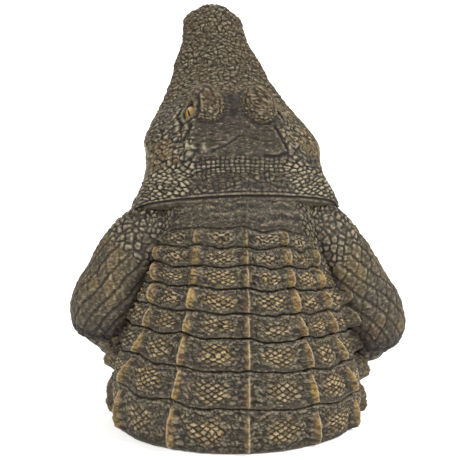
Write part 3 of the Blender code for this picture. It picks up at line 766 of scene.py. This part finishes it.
# %% Rows of beads and flat scales on the nape, slanting rows at its sides
SMALL_BEAD = (3.7, 4.7)
FLAT_SCALE = (5.6, 6.6)
SLANT_BEAD = (5.6, 3.7)
spine = head_base[:, 0] / UNIT
run = np.concatenate([[0], np.cumsum(np.linalg.norm(np.diff(spine, axis=0), axis=1))])[:, None] + level
small_place = warp(plane(run / SMALL_BEAD[0], across / SMALL_BEAD[1]), 3.0, 0.2, 39)
small_edge, small_number = scales(small_place, 1.0, 27, 0.35, True)
small_bead = ramp(0.0, 0.4, small_edge) * (0.6 + 0.6 * small_number)
flat_place = warp(plane(run / FLAT_SCALE[0], across / FLAT_SCALE[1]), 2.0, 0.3, 40)
flat_edge, flat_number = scales(flat_place, 1.0, 28, 0.9, True)
flat_scale = ramp(0.0, 0.2, flat_edge) * (0.5 + 0.7 * flat_number) + 0.4 * noise(grown, 3.6, 44)
side_reach = np.hypot(wide, up + 40) - 45
slant_along = (along * 0.8 + side_reach * 0.6) / SLANT_BEAD[0]
slant_across = (side_reach * 0.8 - along * 0.6) / SLANT_BEAD[1] + 40 * (across > 0)
slant_place = warp(plane(slant_along, slant_across), 2.5, 0.3, 37)
slant_edge, slant_number = scales(slant_place, 1.0, 29, 0.6, True)
slant_bead = ramp(0.0, 0.4, slant_edge) * (0.6 + 0.7 * slant_number)
nape_side = ramp(38, 52, wide + 0.25 * (along + 50))
nape_top = 1 - nape_side
bead_rows = ramp(-50, -46, along)
nape_scale = nape_side * slant_bead * 2.0 + nape_top * bead_rows * small_bead * 1.3
nape_scale += nape_top * (1 - bead_rows) * flat_scale * 1.3

# %% Hem of the hood, wrinkles of the skull and lids
HEM_FOLD = -72.0
HEM_SEAM = -68.5
hem = 1 - ramp(-71, -68, along)
fold_line = bell(along - HEM_FOLD, 0.9) + 0.5 * bell(along - HEM_SEAM, 0.6)
head_relief += (nape * (1 - hem) * (nape_scale - 0.8) - 1.6 * fold_line) * above_jaw
head_relief += 1.5 * nape_top * (1 - ramp(-70, -62, along)) * above_jaw
skull_place = warp(np.stack([along * 1.0, across * 0.4, up], axis=-1), 6.0, 1.5, 45)
head_relief += skull * (0.45 * noise(skull_place, 2.8, 30) + 0.45 * noise(head_places, 8.0, 31))
lid_edge, lid_number = scales(grown, 3.8, 32)
lid_scale = ramp(0.0, 0.4, lid_edge) * (0.5 + 0.9 * lid_number) - 0.5
egg_height = (up - EYE_BUMP_PLACE[2]) / EYE_BUMP_RADII[2]
lid_wrinkle = np.sin(egg_height * 26 + 2.5 * noise(head_places, 10.0, 33))
head_relief += lids * (1.2 * lid_scale + 0.25 * lid_wrinkle)
head_relief += 0.22 * noise(head_places, 3.2, 34)
head_relief *= 1 - 0.5 * bell(corner_place - 4.6, 0.9)


# %% Creases of the skull, each a chain of places along and across the head
def chain_distance(first, second, chain):
    """Find how far points lie from a chain of straight steps."""
    best = np.full(first.shape, 99.0)
    for (a, b), (c, d) in zip(chain[:-1], chain[1:]):
        span = (c - a) ** 2 + (d - b) ** 2
        t = np.clip(((first - a) * (c - a) + (second - b) * (d - b)) / span, 0, 1)
        best = np.minimum(best, np.hypot(first - a - t * (c - a), second - b - t * (d - b)))
    return best


# Each crease: its chain of places, how wide it is and how deep.
CREASES = [
    ([(-7, 0), (-13, 6), (-19, 13), (-27, 27)], 1.2, 1.7),
    ([(-6, -3), (-10, -14), (-16, -26)], 2.2, 0.6),
    ([(12, -37), (-4, -41), (-24, -46)], 1.5, 2.2),
    ([(-31, -24), (-31, -36), (-27, -46)], 1.5, 1.6),
    ([(20, 46), (8, 46), (-6, 53)], 1.8, 2.0),
    ([(-52, 54), (-45, 42), (-42, 33), (-40, 20)], 1.2, 1.8),
    ([(72, 0), (58, 2), (42, 0), (30, 1)], 5.5, 1.4),
    ([(-58, -24), (-50, -22), (-44, -26)], 1.2, 1.0),
]
ink = np.zeros_like(along)
TEETH_CORNER = 6.5
MOUTH_CORNER = 6.9
JAW_EDGE_CORNER = 4.95
upper = 1 - ramp(4.2, 4.8, corner_place)
for chain, width, depth in CREASES:
    crease = bell(chain_distance(along, across, chain), width) * upper
    crease = crease * (0.75 + 0.35 * noise(head_places, 6.0, 38))
    head_relief -= depth * crease
    ink = np.maximum(ink, crease * min(depth / 2, 1) * 0.85)
# Each pale bump: its place along and across, its size and how pale it is.
PALE_BUMPS = [(-21, 49, 6.0, 0.75), (-23, 35, 5.0, 0.3), (-22, -47, 4.0, 0.35)]
pale = np.zeros_like(along)
for place_along, place_across, size, strength in PALE_BUMPS:
    swelling = bell(along - place_along, size) * upper
    swelling *= np.exp(-((across - place_across) / size * 1.3) ** 2)
    head_relief += 2.0 * swelling
    pale = np.maximum(pale, strength * swelling)

# %% Rims and folds round the eye openings, and the nostrils
OPENING_RING = 1.0
RIM_RING = 1.5
LID_FOLD_RING = 2.4
OUTER_FOLD_RING = 3.0
NOSTRIL_PLACE = (246, 8)
NOSTRIL_SIZE = (4.6, 3.0)
rim_dark = np.zeros_like(along)
rims = np.zeros_like(along)
for side in (1, -1):
    middle = np.array(EYE_OPENING_PLACE) * np.array([1, side, 1])
    ahead, beside, above = np.moveaxis(head_places - middle, -1, 0)
    beside = beside * side
    lengthways = (ahead * 0.93 - beside * 0.36) / EYE_OPENING_LENGTH
    crossways = (ahead * 0.3 + beside * 0.76 - above * 0.57) / EYE_OPENING_WIDTHS[side]
    ring = np.abs(crossways) + lengthways**2
    near = np.exp(-((np.linalg.norm(head_places - middle, axis=-1) / 24) ** 6))
    rim = 1.4 * bell(ring - RIM_RING, 0.3) - 0.9 * bell(ring - LID_FOLD_RING, 0.25)
    rim += 0.4 * bell(ring - OUTER_FOLD_RING, 0.3)
    opening = 5.5 * (1 - ramp(OPENING_RING - 0.15, OPENING_RING + 0.15, ring))
    head_relief += near * (rim - opening)
    rim_dark = np.maximum(rim_dark, near * bell(ring - 1.08, 0.16))
    rim_dark = np.maximum(rim_dark, 0.35 * near * bell(ring - LID_FOLD_RING, 0.2))
    rims = np.maximum(rims, near * bell(ring - RIM_RING, 0.6))
    lower_lid = near * bell(ring - 1.55, 0.3) * ramp(-0.2, 0.6, crossways - 0.6 * lengthways)
    pale = np.maximum(pale, 0.4 * lower_lid)
    nostril_along = (along - NOSTRIL_PLACE[0]) / NOSTRIL_SIZE[0]
    nostril = np.hypot(nostril_along, (across - side * NOSTRIL_PLACE[1]) / NOSTRIL_SIZE[1])
    head_relief += (1.4 * bell(nostril - 1.3, 0.35) - 3.0 * bell(nostril, 1)) * upper
    ink = np.maximum(ink, bell(nostril, 1) * upper)

# %% Mouth and teeth
TOOTH_STEP = 11.0
TOOTH_ROW = (30, 250)
tooth_wave = np.abs(np.mod(along / TOOTH_STEP, 1) - 0.5) * TOOTH_STEP
tooth = ramp(24, 34, along) * (1 - ramp(246, 254, along))
tooth = tooth * bell(tooth_wave, 2.3) * bell(corner_place - TEETH_CORNER, 0.55)
mouth_line = bell(corner_place - MOUTH_CORNER, 0.4) * ramp(8, 24, along)
head_relief += 3.2 * tooth - 1.6 * mouth_line * (1 - tooth)
lid_border = bell(lid_rings - 1.14, 0.08) * (1 - ramp(34, 44, wide))
dark_lines = [mouth_line * (1 - tooth), rim_dark, 0.8 * fold_line * above_jaw, 0.6 * lid_border]
ink = np.maximum.reduce([ink] + dark_lines)
print("teeth on each side:", int((TOOTH_ROW[1] - TOOTH_ROW[0]) / TOOTH_STEP))

# %% Paint layers of the head
jaw_edge_pale = bell(corner_place - JAW_EDGE_CORNER, 0.5) * ramp(-45, -20, along) * (1 - ramp(40, 120, along))
bead_pale = nape * nape_side * slant_number * ramp(0.3, 0.5, slant_edge) * ramp(-40, -20, along)
hem_pale = hem * above_jaw * (1 - fold_line)
pale_places = [pale, 0.9 * jaw_edge_pale, 0.6 * lower_jaw, tooth, 0.4 * bead_pale, 0.12 * hem_pale]
head_pale = np.maximum.reduce(pale_places)
golden_cheek = (noise(head_places, 24.0, 35) > 0.3) * cheek
# The shade layer darkens the snout, the skull, the lids, the cheeks and the nape: painted shade on the top of
# the head, which the lights strike most, and a darker tone in places.
head_paint = {
    "gold": 0.12 * snout + 0.25 * lids + 0.25 * golden_cheek,
    "ink": ink,
    "pale": head_pale * (0.8 + 0.2 * noise(head_places, 14.0, 36)),
    "shade_and_tone": 0.6 * snout + 0.5 * skull + 0.3 * lids + 0.3 * cheek + nape * (0.75 - 0.45 * nape_side),
}
head_points, head_layers = carve(head_base, head_relief, head_paint)
head_layers["brush"] *= 1 - 0.5 * snout - 0.5 * skull - 0.5 * nape * nape_top * (1 - 0.2 * bead_rows)
head_layers["brush"] *= (1 - 0.7 * rims) * (1 - 0.45 * lids) * (1 - 0.15 * nape_side * nape)
head_layers["brush"] *= 1 - 0.25 * cheek
head_layers["wash"] = np.clip(1.3 * head_layers["wash"], 0, 1)
head_skin = finish_skin([wrap("head_skin", head_points, head_layers)], "head_skin", False)


# %% [markdown]
# The forelegs are tubes round a path. Their plates lie in slanting rows from the armpit down to the
# elbow, with beads on the shoulder. The hands spread on the ground in front of the trunk. A curve
# with a bevel would make such a tube too, but the carving needs to know how far along and how far
# round each point lies, and a wrapped grid says that.

# %% Wrap tubes round a path
def tube_surface(side, stations, shares, turns, reference):
    """Place points round a path of stations; side -1 mirrors it."""
    steps = np.linalg.norm(np.diff(stations[:, :3], axis=0), axis=1)
    keys = np.concatenate([[0], np.cumsum(steps)])
    table = np.column_stack([keys / keys[-1], stations])
    place = smooth(table, shares)
    axis = (smooth(table, np.clip(shares + 0.05, 0, 1)) - smooth(table, np.clip(shares - 0.05, 0, 1)))[:3].T
    axis /= np.linalg.norm(axis, axis=1)[:, None]
    first = np.cross(axis, np.array(reference))
    first /= np.linalg.norm(first, axis=1)[:, None]
    second = np.cross(axis, first)
    ring = np.cos(turns)[None, :, None] * first[:, None] + np.sin(turns)[None, :, None] * second[:, None]
    ring = place[:3].T[:, None] + place[3][:, None, None] * ring
    return world(ring[..., 0] * side, ring[..., 1], ring[..., 2]), keys[-1]


def foreleg_stations(stations, side):
    """Pose the stations of a length of foreleg for its side."""
    posed = stations.copy()
    elbow = np.clip(1 - np.abs(stations[:, 2] - 105) / 95, 0, 1)
    if side > 0:
        posed[:, 2] += LEFT_ELBOW_LIFT * elbow
    else:
        posed[:, 2] -= RIGHT_ELBOW_DROP * elbow
        posed[:, 0] -= RIGHT_ARM_TUCK * np.clip((stations[:, 2] - 125) / 60, 0, 1)
    return posed


# Two families of lines cross on a foreleg: deep grooves that lean one way, and finer joints that
# lean the other way and more. A slant is how far a line runs round the limb for each step along
# it. The left foreleg (1) and the right one (-1) are cut and inked unlike each other.
GROOVE_SLANTS = {1: 0.3, -1: 0.42}
JOINT_SLANT = 1.15
GROOVE_CUT = 2.3
JOINT_CUTS = {1: 0.6, -1: 1.2}
GROOVE_INKS = {1: 0.8, -1: 0.55}
JOINT_INKS = {1: 0.25, -1: 0.45}
PLATE_WIDTH = 13.6


def slanting_lines(units, length_here, turn_here, radius, slant, seed):
    """Count the lines of one family: how far round each place lies, in plates."""
    girth = 2 * math.pi * radius
    lines_round = round(girth * math.cos(math.atan(slant)) / PLATE_WIDTH)
    place = turn_here / (2 * math.pi) * lines_round + length_here * slant * lines_round / girth
    return place + 0.2 * noise(units, 24.0, seed) + 0.06 * noise(units, 6.0, seed + 1), lines_round


def plated(side, units, length_here, turn_here, radius):
    """Carve plates between deep slanting grooves and finer joints."""
    groove_line, round_count = slanting_lines(units, length_here, turn_here, radius, GROOVE_SLANTS[side], 41)
    joint_line, _ = slanting_lines(units, length_here, turn_here, radius, -JOINT_SLANT, 46)
    whole = np.stack([np.mod(np.floor(groove_line), round_count)] * 3, axis=-1)
    joint_line = joint_line + 0.4 * fixed_numbers(whole, 43)[..., 0]
    groove = np.abs(groove_line - np.rint(groove_line))
    joint = np.abs(joint_line - np.rint(joint_line))
    plate = np.stack([np.floor(groove_line), np.floor(joint_line), np.zeros_like(joint)], axis=-1)
    plate_number = fixed_numbers(plate, 47)[..., 0]
    relief = GROOVE_CUT * (1 - np.exp(-groove / 0.08)) + JOINT_CUTS[side] * (1 - np.exp(-joint / 0.06)) - 2.1
    relief += 0.5 * (plate_number - 0.5) * ramp(0.0, 0.1, np.minimum(groove, joint))
    ink = np.maximum(GROOVE_INKS[side] * bell(groove, 0.04), JOINT_INKS[side] * bell(joint, 0.03))
    return relief, ink, plate_number


def beads_growing(units, share_here, seed, bead_end):
    """Carve small beads that give way to wide ones before the beads end."""
    edge, number = scales(warp(units, 9.0, 1.0, seed + 7), 4.9, seed, 0.8)
    small = 1.9 * ramp(0.0, 0.35, edge) * (0.6 + 0.8 * number) - 0.8
    edge, number = scales(warp(units, 12.0, 1.5, seed + 8), 7.6, seed + 9, 0.65)
    wide = 1.7 * ramp(0.0, 0.36, edge) * (0.8 + 0.4 * number) - 0.9
    growth = ramp(bead_end - 0.24, bead_end - 0.1, share_here + 0.05 * noise(units, 12.0, seed + 10))
    return small * (1 - growth) + wide * growth


def foreleg_length(side, stations, reference, radius, grid, seed, bead_zone, elbow_zone, shades):
    """Wrap one length of foreleg, with beads, plates and small elbow scales by its zones."""
    shares = np.linspace(0, 1, grid[0])
    turns = np.arange(grid[1]) * 2 * math.pi / grid[1]
    base, length = tube_surface(side, foreleg_stations(stations, side), shares, turns, reference)
    share_here, turn_here = np.meshgrid(shares, turns, indexing="ij")
    units = base / UNIT
    plates, line_ink, plate_number = plated(side, units, share_here * length, turn_here, radius)
    beads = beads_growing(units, share_here, seed, bead_zone[0])
    elbow_edge, _ = scales(units, 9.0, seed + 1)
    elbow_scale = 1.3 * ramp(0.0, 0.2, elbow_edge) - 0.7
    beaded = 1 - ramp(bead_zone[0], bead_zone[1], share_here + 0.05 * noise(units, 15.0, seed + 2))
    elbowed = ramp(elbow_zone[0], elbow_zone[1], share_here)
    plain = (1 - beaded) * (1 - elbowed)
    relief = beaded * beads + elbowed * elbow_scale + plain * plates
    relief += 0.4 * noise(units, 7.0, seed + 3) + 0.5 * noise(units, 2.9, seed + 4)
    relief *= ramp(0.0, 0.06, share_here) * ramp(0.0, 0.05, 1 - share_here)
    # Painted shade on the side of the foreleg that faces the trunk and under the elbow, as ink and as a dark
    # coat; the whole foreleg also takes a little darker tone.
    inner = ramp(-0.25, 0.5, -side * form_normals(base)[..., 0]) ** 1.5
    elbow_underside_shade = shades[side] * ramp(elbow_zone[0] - 0.24, elbow_zone[1], share_here)
    paint = {
        "gold": 0.28 * plain * plate_number * np.clip(noise(units, 26.0, seed + 5) + 0.5, 0, 1),
        "ink": np.maximum.reduce([plain * line_ink, elbow_underside_shade, 0.75 * inner]),
        "shade_and_tone": elbowed + 0.2 + 0.9 * inner,
    }
    points, layers = carve(base, relief, paint)
    layers["brush"] *= 0.6 * (1 - 0.6 * elbowed) * (1 - 0.7 * inner)
    layers["wash"] *= 1 - 0.3 * (plain + beaded)
    return wrap("foreleg_form", points, layers)


# %% Palm and fingers, each finger with creases at its joints and a claw
PALM_GRID = (30, 64)
FINGER_GRID = (52, 32)
CREASE_STEP = 8.0
CLAW_START = 0.745


def palm_form(side):
    """Wrap the palm of one hand."""
    heights = np.linspace(-0.97, 0.97, PALM_GRID[0])
    turns = np.arange(PALM_GRID[1]) * 2 * math.pi / PALM_GRID[1]
    height_here, turn_here = np.meshgrid(heights, turns, indexing="ij")
    level = np.sqrt(1 - height_here**2)
    palm_across = (PALM_PLACE[0] + PALM_RADII[0] * level * np.cos(turn_here)) * side
    palm_forward = PALM_PLACE[1] + PALM_RADII[1] * level * np.sin(turn_here)
    base = world(palm_across, palm_forward, PALM_PLACE[2] + PALM_RADII[2] * height_here)
    edge, _ = scales(base / UNIT, 6.5, 51, 0.6)
    points, layers = carve(base, 1.5 * ramp(0.03, 0.4, edge) - 0.7, {"shade_and_tone": 0.3})
    return wrap("palm_form", points, layers)


def finger_form(side, index):
    """Wrap one finger of a hand, counted across the hand."""
    heading = (index / (FINGER_COUNT - 1) - 0.5) * FINGER_FAN + FINGER_TURN
    stations = []
    for distance, height, radius in FINGER_STATIONS:
        reach = FINGER_START + distance * FINGER_LENGTH_SHARES[index]
        finger_across = PALM_PLACE[0] + reach * math.sin(heading)
        stations.append((finger_across, PALM_PLACE[1] + reach * math.cos(heading), height, radius))
    shares = np.linspace(0, 1, FINGER_GRID[0])
    turns = np.arange(FINGER_GRID[1]) * 2 * math.pi / FINGER_GRID[1]
    base, length = tube_surface(side, np.array(stations), shares, turns, (0, 0, 1))
    share_here = shares[:, None] + np.zeros(FINGER_GRID)
    steps = share_here * length / CREASE_STEP
    skin = 1 - ramp(0.7, 0.74, share_here)
    relief = skin * (1.5 * ramp(0.02, 0.2, np.abs(steps - np.rint(steps))) - 0.7)
    relief += 0.2 * noise(base / UNIT, 3.0, 52) + 1.2 * bell(share_here - 0.71, 0.03)
    paint = {"claw": ramp(0.73, 0.76, share_here), "ink": 0.6 * bell(share_here - CLAW_START, 0.012)}
    points, layers = carve(base, relief * ramp(0, 0.08, 1 - share_here), paint)
    return wrap("finger_form", points, layers)


# %% Both forelegs
# Each length of a foreleg: its stations, the direction that its columns are counted from, its
# radius, its grid, the seed of its pattern, the zone where its beads end, the zone where the
# elbow's scales begin, and how much painted shade darkens the elbow's underside on the left (1)
# and on the right (-1).
FORELEG_LENGTHS = [
    (UPPER_STATIONS, (0, 1, 0.15), 33, (200, 200), 60, (0.3, 0.36), (0.84, 0.92), {1: 0.73, -1: 0.57}),
    (FOREARM_STATIONS, (1, 0, 0.15), 25, (150, 140), 70, (0.02, 0.05), (0.9, 0.98), {1: 0.0, -1: 0.0}),
]
foreleg_skins = []
for side, word in ((1, "left"), (-1, "right")):
    forms = [foreleg_length(side, *measures) for measures in FORELEG_LENGTHS]
    forms.append(palm_form(side))
    forms += [finger_form(side, index) for index in range(FINGER_COUNT)]
    foreleg_skins.append(finish_skin(forms, "foreleg_skin_" + word, True))

# %% [markdown]
# The eyes are small domes under the swollen lids, painted amber with an upright black slit and
# varnished, so they shine more than the skin. Each starts as a sphere primitive that is stretched
# in its mesh. How far each point lies from the slit is kept on the mesh for the paint to read.

# %% Model the eyes
PUPIL_WIDTH = 0.13
PUPIL_LENGTH = 0.78
# Where the left eye looks and which way its slit runs, in the head's own frame.
EYE_LOOK = (-0.55, 0.5, 0.68)
SLIT_WAY = (-0.6, -0.55, -0.5)
eyes = []
for side, word in ((1, "left"), (-1, "right")):
    bpy.ops.object.select_all(action="DESELECT")
    bpy.ops.mesh.primitive_uv_sphere_add(segments=96, ring_count=64, radius=1)
    eye = bpy.context.active_object
    eye.name = "eye_" + word
    eye.data.name = eye.name
    count = len(eye.data.vertices)
    ball = np.empty(count * 3)
    eye.data.vertices.foreach_get("co", ball)
    ball = ball.reshape(-1, 3)
    depth = 0 if side > 0 else RIGHT_EYE_DEPTH
    middle = np.array([EYE_PLACE[0], side * (EYE_PLACE[1] - depth), EYE_PLACE[2] - depth / 2])
    places = middle + ball * np.array(EYE_RADII)
    eye.data.vertices.foreach_set("co", head_surface(*places.T).ravel())
    look = np.array(EYE_LOOK) * np.array([1, side, 1])
    look /= np.linalg.norm(look)
    narrow_way = np.cross(look, np.array(SLIT_WAY) * np.array([1, side, 1]))
    narrow_way /= np.linalg.norm(narrow_way)
    long_way = np.cross(look, narrow_way)
    facing = ball @ look
    slit = np.hypot((ball @ narrow_way) / PUPIL_WIDTH, (ball @ long_way) / PUPIL_LENGTH)
    for layer, values in (("pupil", slit), ("iris", facing)):
        strengths = eye.data.attributes.new(layer, "FLOAT", "POINT")
        strengths.data.foreach_set("value", values.astype(float))
    bpy.ops.object.mode_set(mode="EDIT")
    bpy.ops.mesh.select_all(action="SELECT")
    bpy.ops.mesh.normals_make_consistent(inside=False)
    bpy.ops.object.mode_set(mode="OBJECT")
    bpy.ops.object.shade_smooth()
    eyes.append(eye)
print("eyes at", [tuple(round(value, 3) for value in eye.bound_box[0]) for eye in eyes])


# %% [markdown]
# The finish is artist's acrylic on cast polyester resin: semi-matt, with no metal in it. The colours
# are given as sRGB hex values, which one function turns to linear light. One small function adds a
# node with its settings and links. Patterns made by nodes need no picture and have no seams.

# %% Colours and nodes
def colour(code):
    """Turn an sRGB hex value to the linear colour that a shader wants."""
    parts = [int(code[start : start + 2], 16) / 255 for start in (1, 3, 5)]
    linear = [part / 12.92 if part <= 0.04045 else ((part + 0.055) / 1.055) ** 2.4 for part in parts]
    return (*linear, 1)


def add_node(material, kind, settings=None, links=None):
    """Add a node; settings set its properties or socket values, links feed its sockets."""
    node = material.node_tree.nodes.new(kind)
    for name, value in (settings or {}).items():
        if isinstance(name, int) or name in node.inputs:
            node.inputs[name].default_value = value
        else:
            setattr(node, name, value)
    for name, source in (links or {}).items():
        material.node_tree.links.new(source, node.inputs[name])
    return node


def new_material(name):
    """Start a material and give its Principled shader."""
    material = bpy.data.materials.new(name)
    material.use_nodes = True
    return material, material.node_tree.nodes["Principled BSDF"]


def lay_coat(material, below, paint, place, low=0.0, high=1.0, strength=1.0):
    """Lay a coat of paint on a colour; it grows to its strength as the place goes from low to high."""
    limits = {"From Min": low, "From Max": high, "To Max": strength}
    amount = add_node(material, "ShaderNodeMapRange", limits, {"Value": place})
    coat = add_node(material, "ShaderNodeMix", {"data_type": "RGBA"}, {0: amount.outputs[0]})
    for socket, source in ((6, below), (7, paint)):
        if isinstance(source, str):
            coat.inputs[socket].default_value = colour(source)
        else:
            material.node_tree.links.new(source, coat.inputs[socket])
    return coat.outputs[2]


# %% The painter's colours
UMBER = "#4a4030"
GREY_BROWN = "#40392e"
MOSS = "#3f3e2e"
PLUM = "#423736"
WASH = "#130e08"
SHADE_BROWN = "#30281f"
OCHRE = "#a08240"
SIENNA = "#8a6537"
BONE = "#a0977a"
DRY_BRUSH = "#bfb092"
CLAW = "#26221f"

# %% [markdown]
# The skin is painted coat over coat, as its maker did it, and painted shade is laid on as well: a
# dark coat and part of the wash darken the undersides, the flanks, the elbows and the inner sides
# of the forelegs. A blotch, fleck or pore is a pattern of a real size in millimetres; the pores and
# grains of cast resin are finer, and are drawn as coarse as they need to show. What lies in a groove
# or on a crest comes from the strengths kept on the mesh.

# %% Painted cast resin: what tells where each coat lies
skin_paint, skin_shader = new_material("painted_cast_resin")
skin_place = add_node(skin_paint, "ShaderNodeTexCoord").outputs["Object"]
settings = {"Scale": (1, 1, 1.8)}
streak_way = add_node(skin_paint, "ShaderNodeMapping", settings, {"Vector": skin_place}).outputs[0]
# Each pattern: its name, size in millimetres, detail, and the coordinates that it is drawn on.
PATTERNS = [
    ("broad blotches", 55, 3, skin_place),
    ("blotches", 38, 2, skin_place),
    ("small blotches", 24, 2, skin_place),
    ("ochre blotches", 18, 2, skin_place),
    ("streaks", 5.0, 4, streak_way),
    ("grain", 2.6, 3, skin_place),
]
where = {}
for name, size, detail, coordinates in PATTERNS:
    settings = {"Scale": 1000 / size, "Detail": detail}
    where[name] = add_node(skin_paint, "ShaderNodeTexNoise", settings, {"Vector": coordinates}).outputs[0]
settings = {"Scale": 1000 / 3.4, "feature": "DISTANCE_TO_EDGE"}
pores = add_node(skin_paint, "ShaderNodeTexVoronoi", settings, {"Vector": skin_place})
where["pores"] = pores.outputs["Distance"]
for name in ("shade_and_tone", "gold", "pale", "brush", "wash", "claw"):
    where[name] = add_node(skin_paint, "ShaderNodeAttribute", {"attribute_name": name}).outputs["Fac"]
print("places for paint:", ", ".join(where))

# %% Painted cast resin: the coats, from the first to the last
golden = lay_coat(skin_paint, OCHRE, SIENNA, where["ochre blotches"], 0.45, 0.65)
# Each coat: its colour, where it lies, where that begins and is full, and its strength.
COATS = [
    (GREY_BROWN, "broad blotches", 0.4, 0.62, 1.0),
    (MOSS, "blotches", 0.5, 0.68, 0.6),
    (PLUM, "small blotches", 0.55, 0.7, 0.55),
    # A dark coat of painted shade, in places also a darker tone, laid from the shade layer.
    (SHADE_BROWN, "shade_and_tone", 0.0, 1.0, 0.8),
    (golden, "gold", 0.0, 1.0, 0.85),
    (BONE, "pale", 0.0, 1.0, 0.9),
    (DRY_BRUSH, "brush", 0.0, 1.0, 0.85),
    (DRY_BRUSH, "streaks", 0.56, 0.74, 0.45),
    (WASH, "streaks", 0.47, 0.3, 0.7),
    (WASH, "grain", 0.42, 0.25, 0.55),
    (WASH, "pores", 0.09, 0.0, 0.25),
    (WASH, "wash", 0.0, 1.0, 0.97),
    (CLAW, "claw", 0.0, 1.0, 1.0),
]
skin_colour = UMBER
for paint, name, low, high, strength in COATS:
    skin_colour = lay_coat(skin_paint, skin_colour, paint, where[name], low, high, strength)
skin_paint.node_tree.links.new(skin_colour, skin_shader.inputs["Base Color"])

# %% Painted cast resin: a semi-matt sheen and fine pits
dull = add_node(skin_paint, "ShaderNodeMapRange", {"To Min": 0.5, "To Max": 0.7}, {"Value": where["grain"]})
skin_paint.node_tree.links.new(dull.outputs[0], skin_shader.inputs["Roughness"])
settings = {"operation": "MULTIPLY_ADD", 1: 0.6}
height = add_node(skin_paint, "ShaderNodeMath", settings, {0: where["pores"], 2: where["grain"]})
settings = {"Strength": 0.55, "Distance": 0.0009}
bump = add_node(skin_paint, "ShaderNodeBump", settings, {"Height": height.outputs[0]})
skin_paint.node_tree.links.new(bump.outputs[0], skin_shader.inputs["Normal"])
skin_shader.inputs["IOR"].default_value = 1.49
skin_shader.inputs["Specular IOR Level"].default_value = 0.32
print("skin paint has", len(skin_paint.node_tree.nodes), "nodes")

# %% Varnished amber eyes
AMBER = "#8a661e"
LIGHT_AMBER = "#c7a04c"
IRIS_EDGE = "#6d4a1c"
PUPIL = "#0b0806"
eye_paint, eye_shader = new_material("varnished_amber_paint")
pupil = add_node(eye_paint, "ShaderNodeAttribute", {"attribute_name": "pupil"}).outputs["Fac"]
iris = add_node(eye_paint, "ShaderNodeAttribute", {"attribute_name": "iris"}).outputs["Fac"]
eye_place = add_node(eye_paint, "ShaderNodeTexCoord").outputs["Object"]
settings = {"Scale": 1000 / 2.0, "Detail": 3}
fleck = add_node(eye_paint, "ShaderNodeTexNoise", settings, {"Vector": eye_place})
eye_colour = lay_coat(eye_paint, AMBER, LIGHT_AMBER, fleck.outputs[0])
eye_colour = lay_coat(eye_paint, eye_colour, IRIS_EDGE, iris, 0.62, 0.4)
slit = add_node(eye_paint, "ShaderNodeMapRange", {"From Min": 1.12, "From Max": 0.95}, {"Value": pupil})
front = add_node(eye_paint, "ShaderNodeMapRange", {"From Min": 0.1, "From Max": 0.2}, {"Value": iris})
links = {0: slit.outputs[0], 1: front.outputs[0]}
slit = add_node(eye_paint, "ShaderNodeMath", {"operation": "MULTIPLY"}, links)
eye_colour = lay_coat(eye_paint, eye_colour, PUPIL, slit.outputs[0])
eye_paint.node_tree.links.new(eye_colour, eye_shader.inputs["Base Color"])
eye_shader.inputs["Roughness"].default_value = 0.18
eye_shader.inputs["Coat Weight"].default_value = 0.6
eye_shader.inputs["Coat Roughness"].default_value = 0.05
print("eye paint has", len(eye_paint.node_tree.nodes), "nodes")

# %% Dress the pieces and tie them to the part
skins = trunk_skins + [head_skin] + foreleg_skins
for piece in skins + eyes:
    piece.data.materials.clear()
    piece.data.materials.append(eye_paint if piece in eyes else skin_paint)
    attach(piece, "root")
for piece in skins:
    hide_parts(STATUE)

# %% [markdown]
# The photograph is a plain product shot: white floor, white wall and soft light. Two soft keys stand
# on the camera's side, one to each hand, and a weak broad light fills the front. The floor glows a
# little, so that it stays white and takes no shadow. The camera looks from behind and a little
# above, with a long lens.

# %% Floor and backdrop
FLOOR_GLOW = 0.45
BACKDROP_STRENGTH = 0.36
bpy.ops.object.select_all(action="DESELECT")
bpy.ops.mesh.primitive_plane_add(size=80, location=(0, 0, 0))
floor = bpy.context.active_object
floor.name = "studio_floor"
floor_paint, floor_shader = new_material("matt_white_paper")
floor_shader.inputs["Base Color"].default_value = colour("#f4f3f1")
floor_shader.inputs["Roughness"].default_value = 0.9
floor_shader.inputs["Emission Color"].default_value = colour("#ffffff")
floor_shader.inputs["Emission Strength"].default_value = FLOOR_GLOW
floor.data.materials.append(floor_paint)
studio = bpy.context.scene.world or bpy.data.worlds.new("studio")
bpy.context.scene.world = studio
studio.use_nodes = True
backdrop = studio.node_tree.nodes["Background"]
backdrop.inputs[0].default_value = (1, 1, 1, 1)
backdrop.inputs[1].default_value = BACKDROP_STRENGTH

# %% Lights that shine from far away: where each stands from the statue, its softness, its strength
LIGHTS = [
    ("left_key_light", (1.35, 0.9, 1.4), 16, 1.5),
    ("right_key_light", (-1.35, 0.9, 1.6), 12, 2.65),
    ("front_light", (0.3, -2.0, 1.6), 50, 0.45),
]
for name, place, softness, strength in LIGHTS:
    bpy.ops.object.light_add(type="SUN", location=place)
    lamp = bpy.context.active_object
    lamp.name = name
    lamp.data.angle = math.radians(softness)
    lamp.data.energy = strength
    lamp.rotation_euler = (-Vector(place)).to_track_quat("-Z", "Y").to_euler()

# %% Camera
CAMERA_PLACE = Vector((0.24717, 2.32194, 0.83456))
CAMERA_AIM = Vector((0.00323, 0.00104, 0.27429))
SENSOR_WIDTH = 36
FOCAL_LENGTH = 121.24
bpy.ops.object.camera_add(location=CAMERA_PLACE)
camera = bpy.context.active_object
camera.name = "photo_camera"
camera.data.sensor_width = SENSOR_WIDTH
camera.data.lens = FOCAL_LENGTH
camera.rotation_euler = (CAMERA_AIM - CAMERA_PLACE).to_track_quat("-Z", "Y").to_euler()
bpy.context.scene.camera = camera
bpy.context.scene.view_settings.view_transform = "Standard"
print("the camera stands", round((CAMERA_PLACE - CAMERA_AIM).length, 2), "m away")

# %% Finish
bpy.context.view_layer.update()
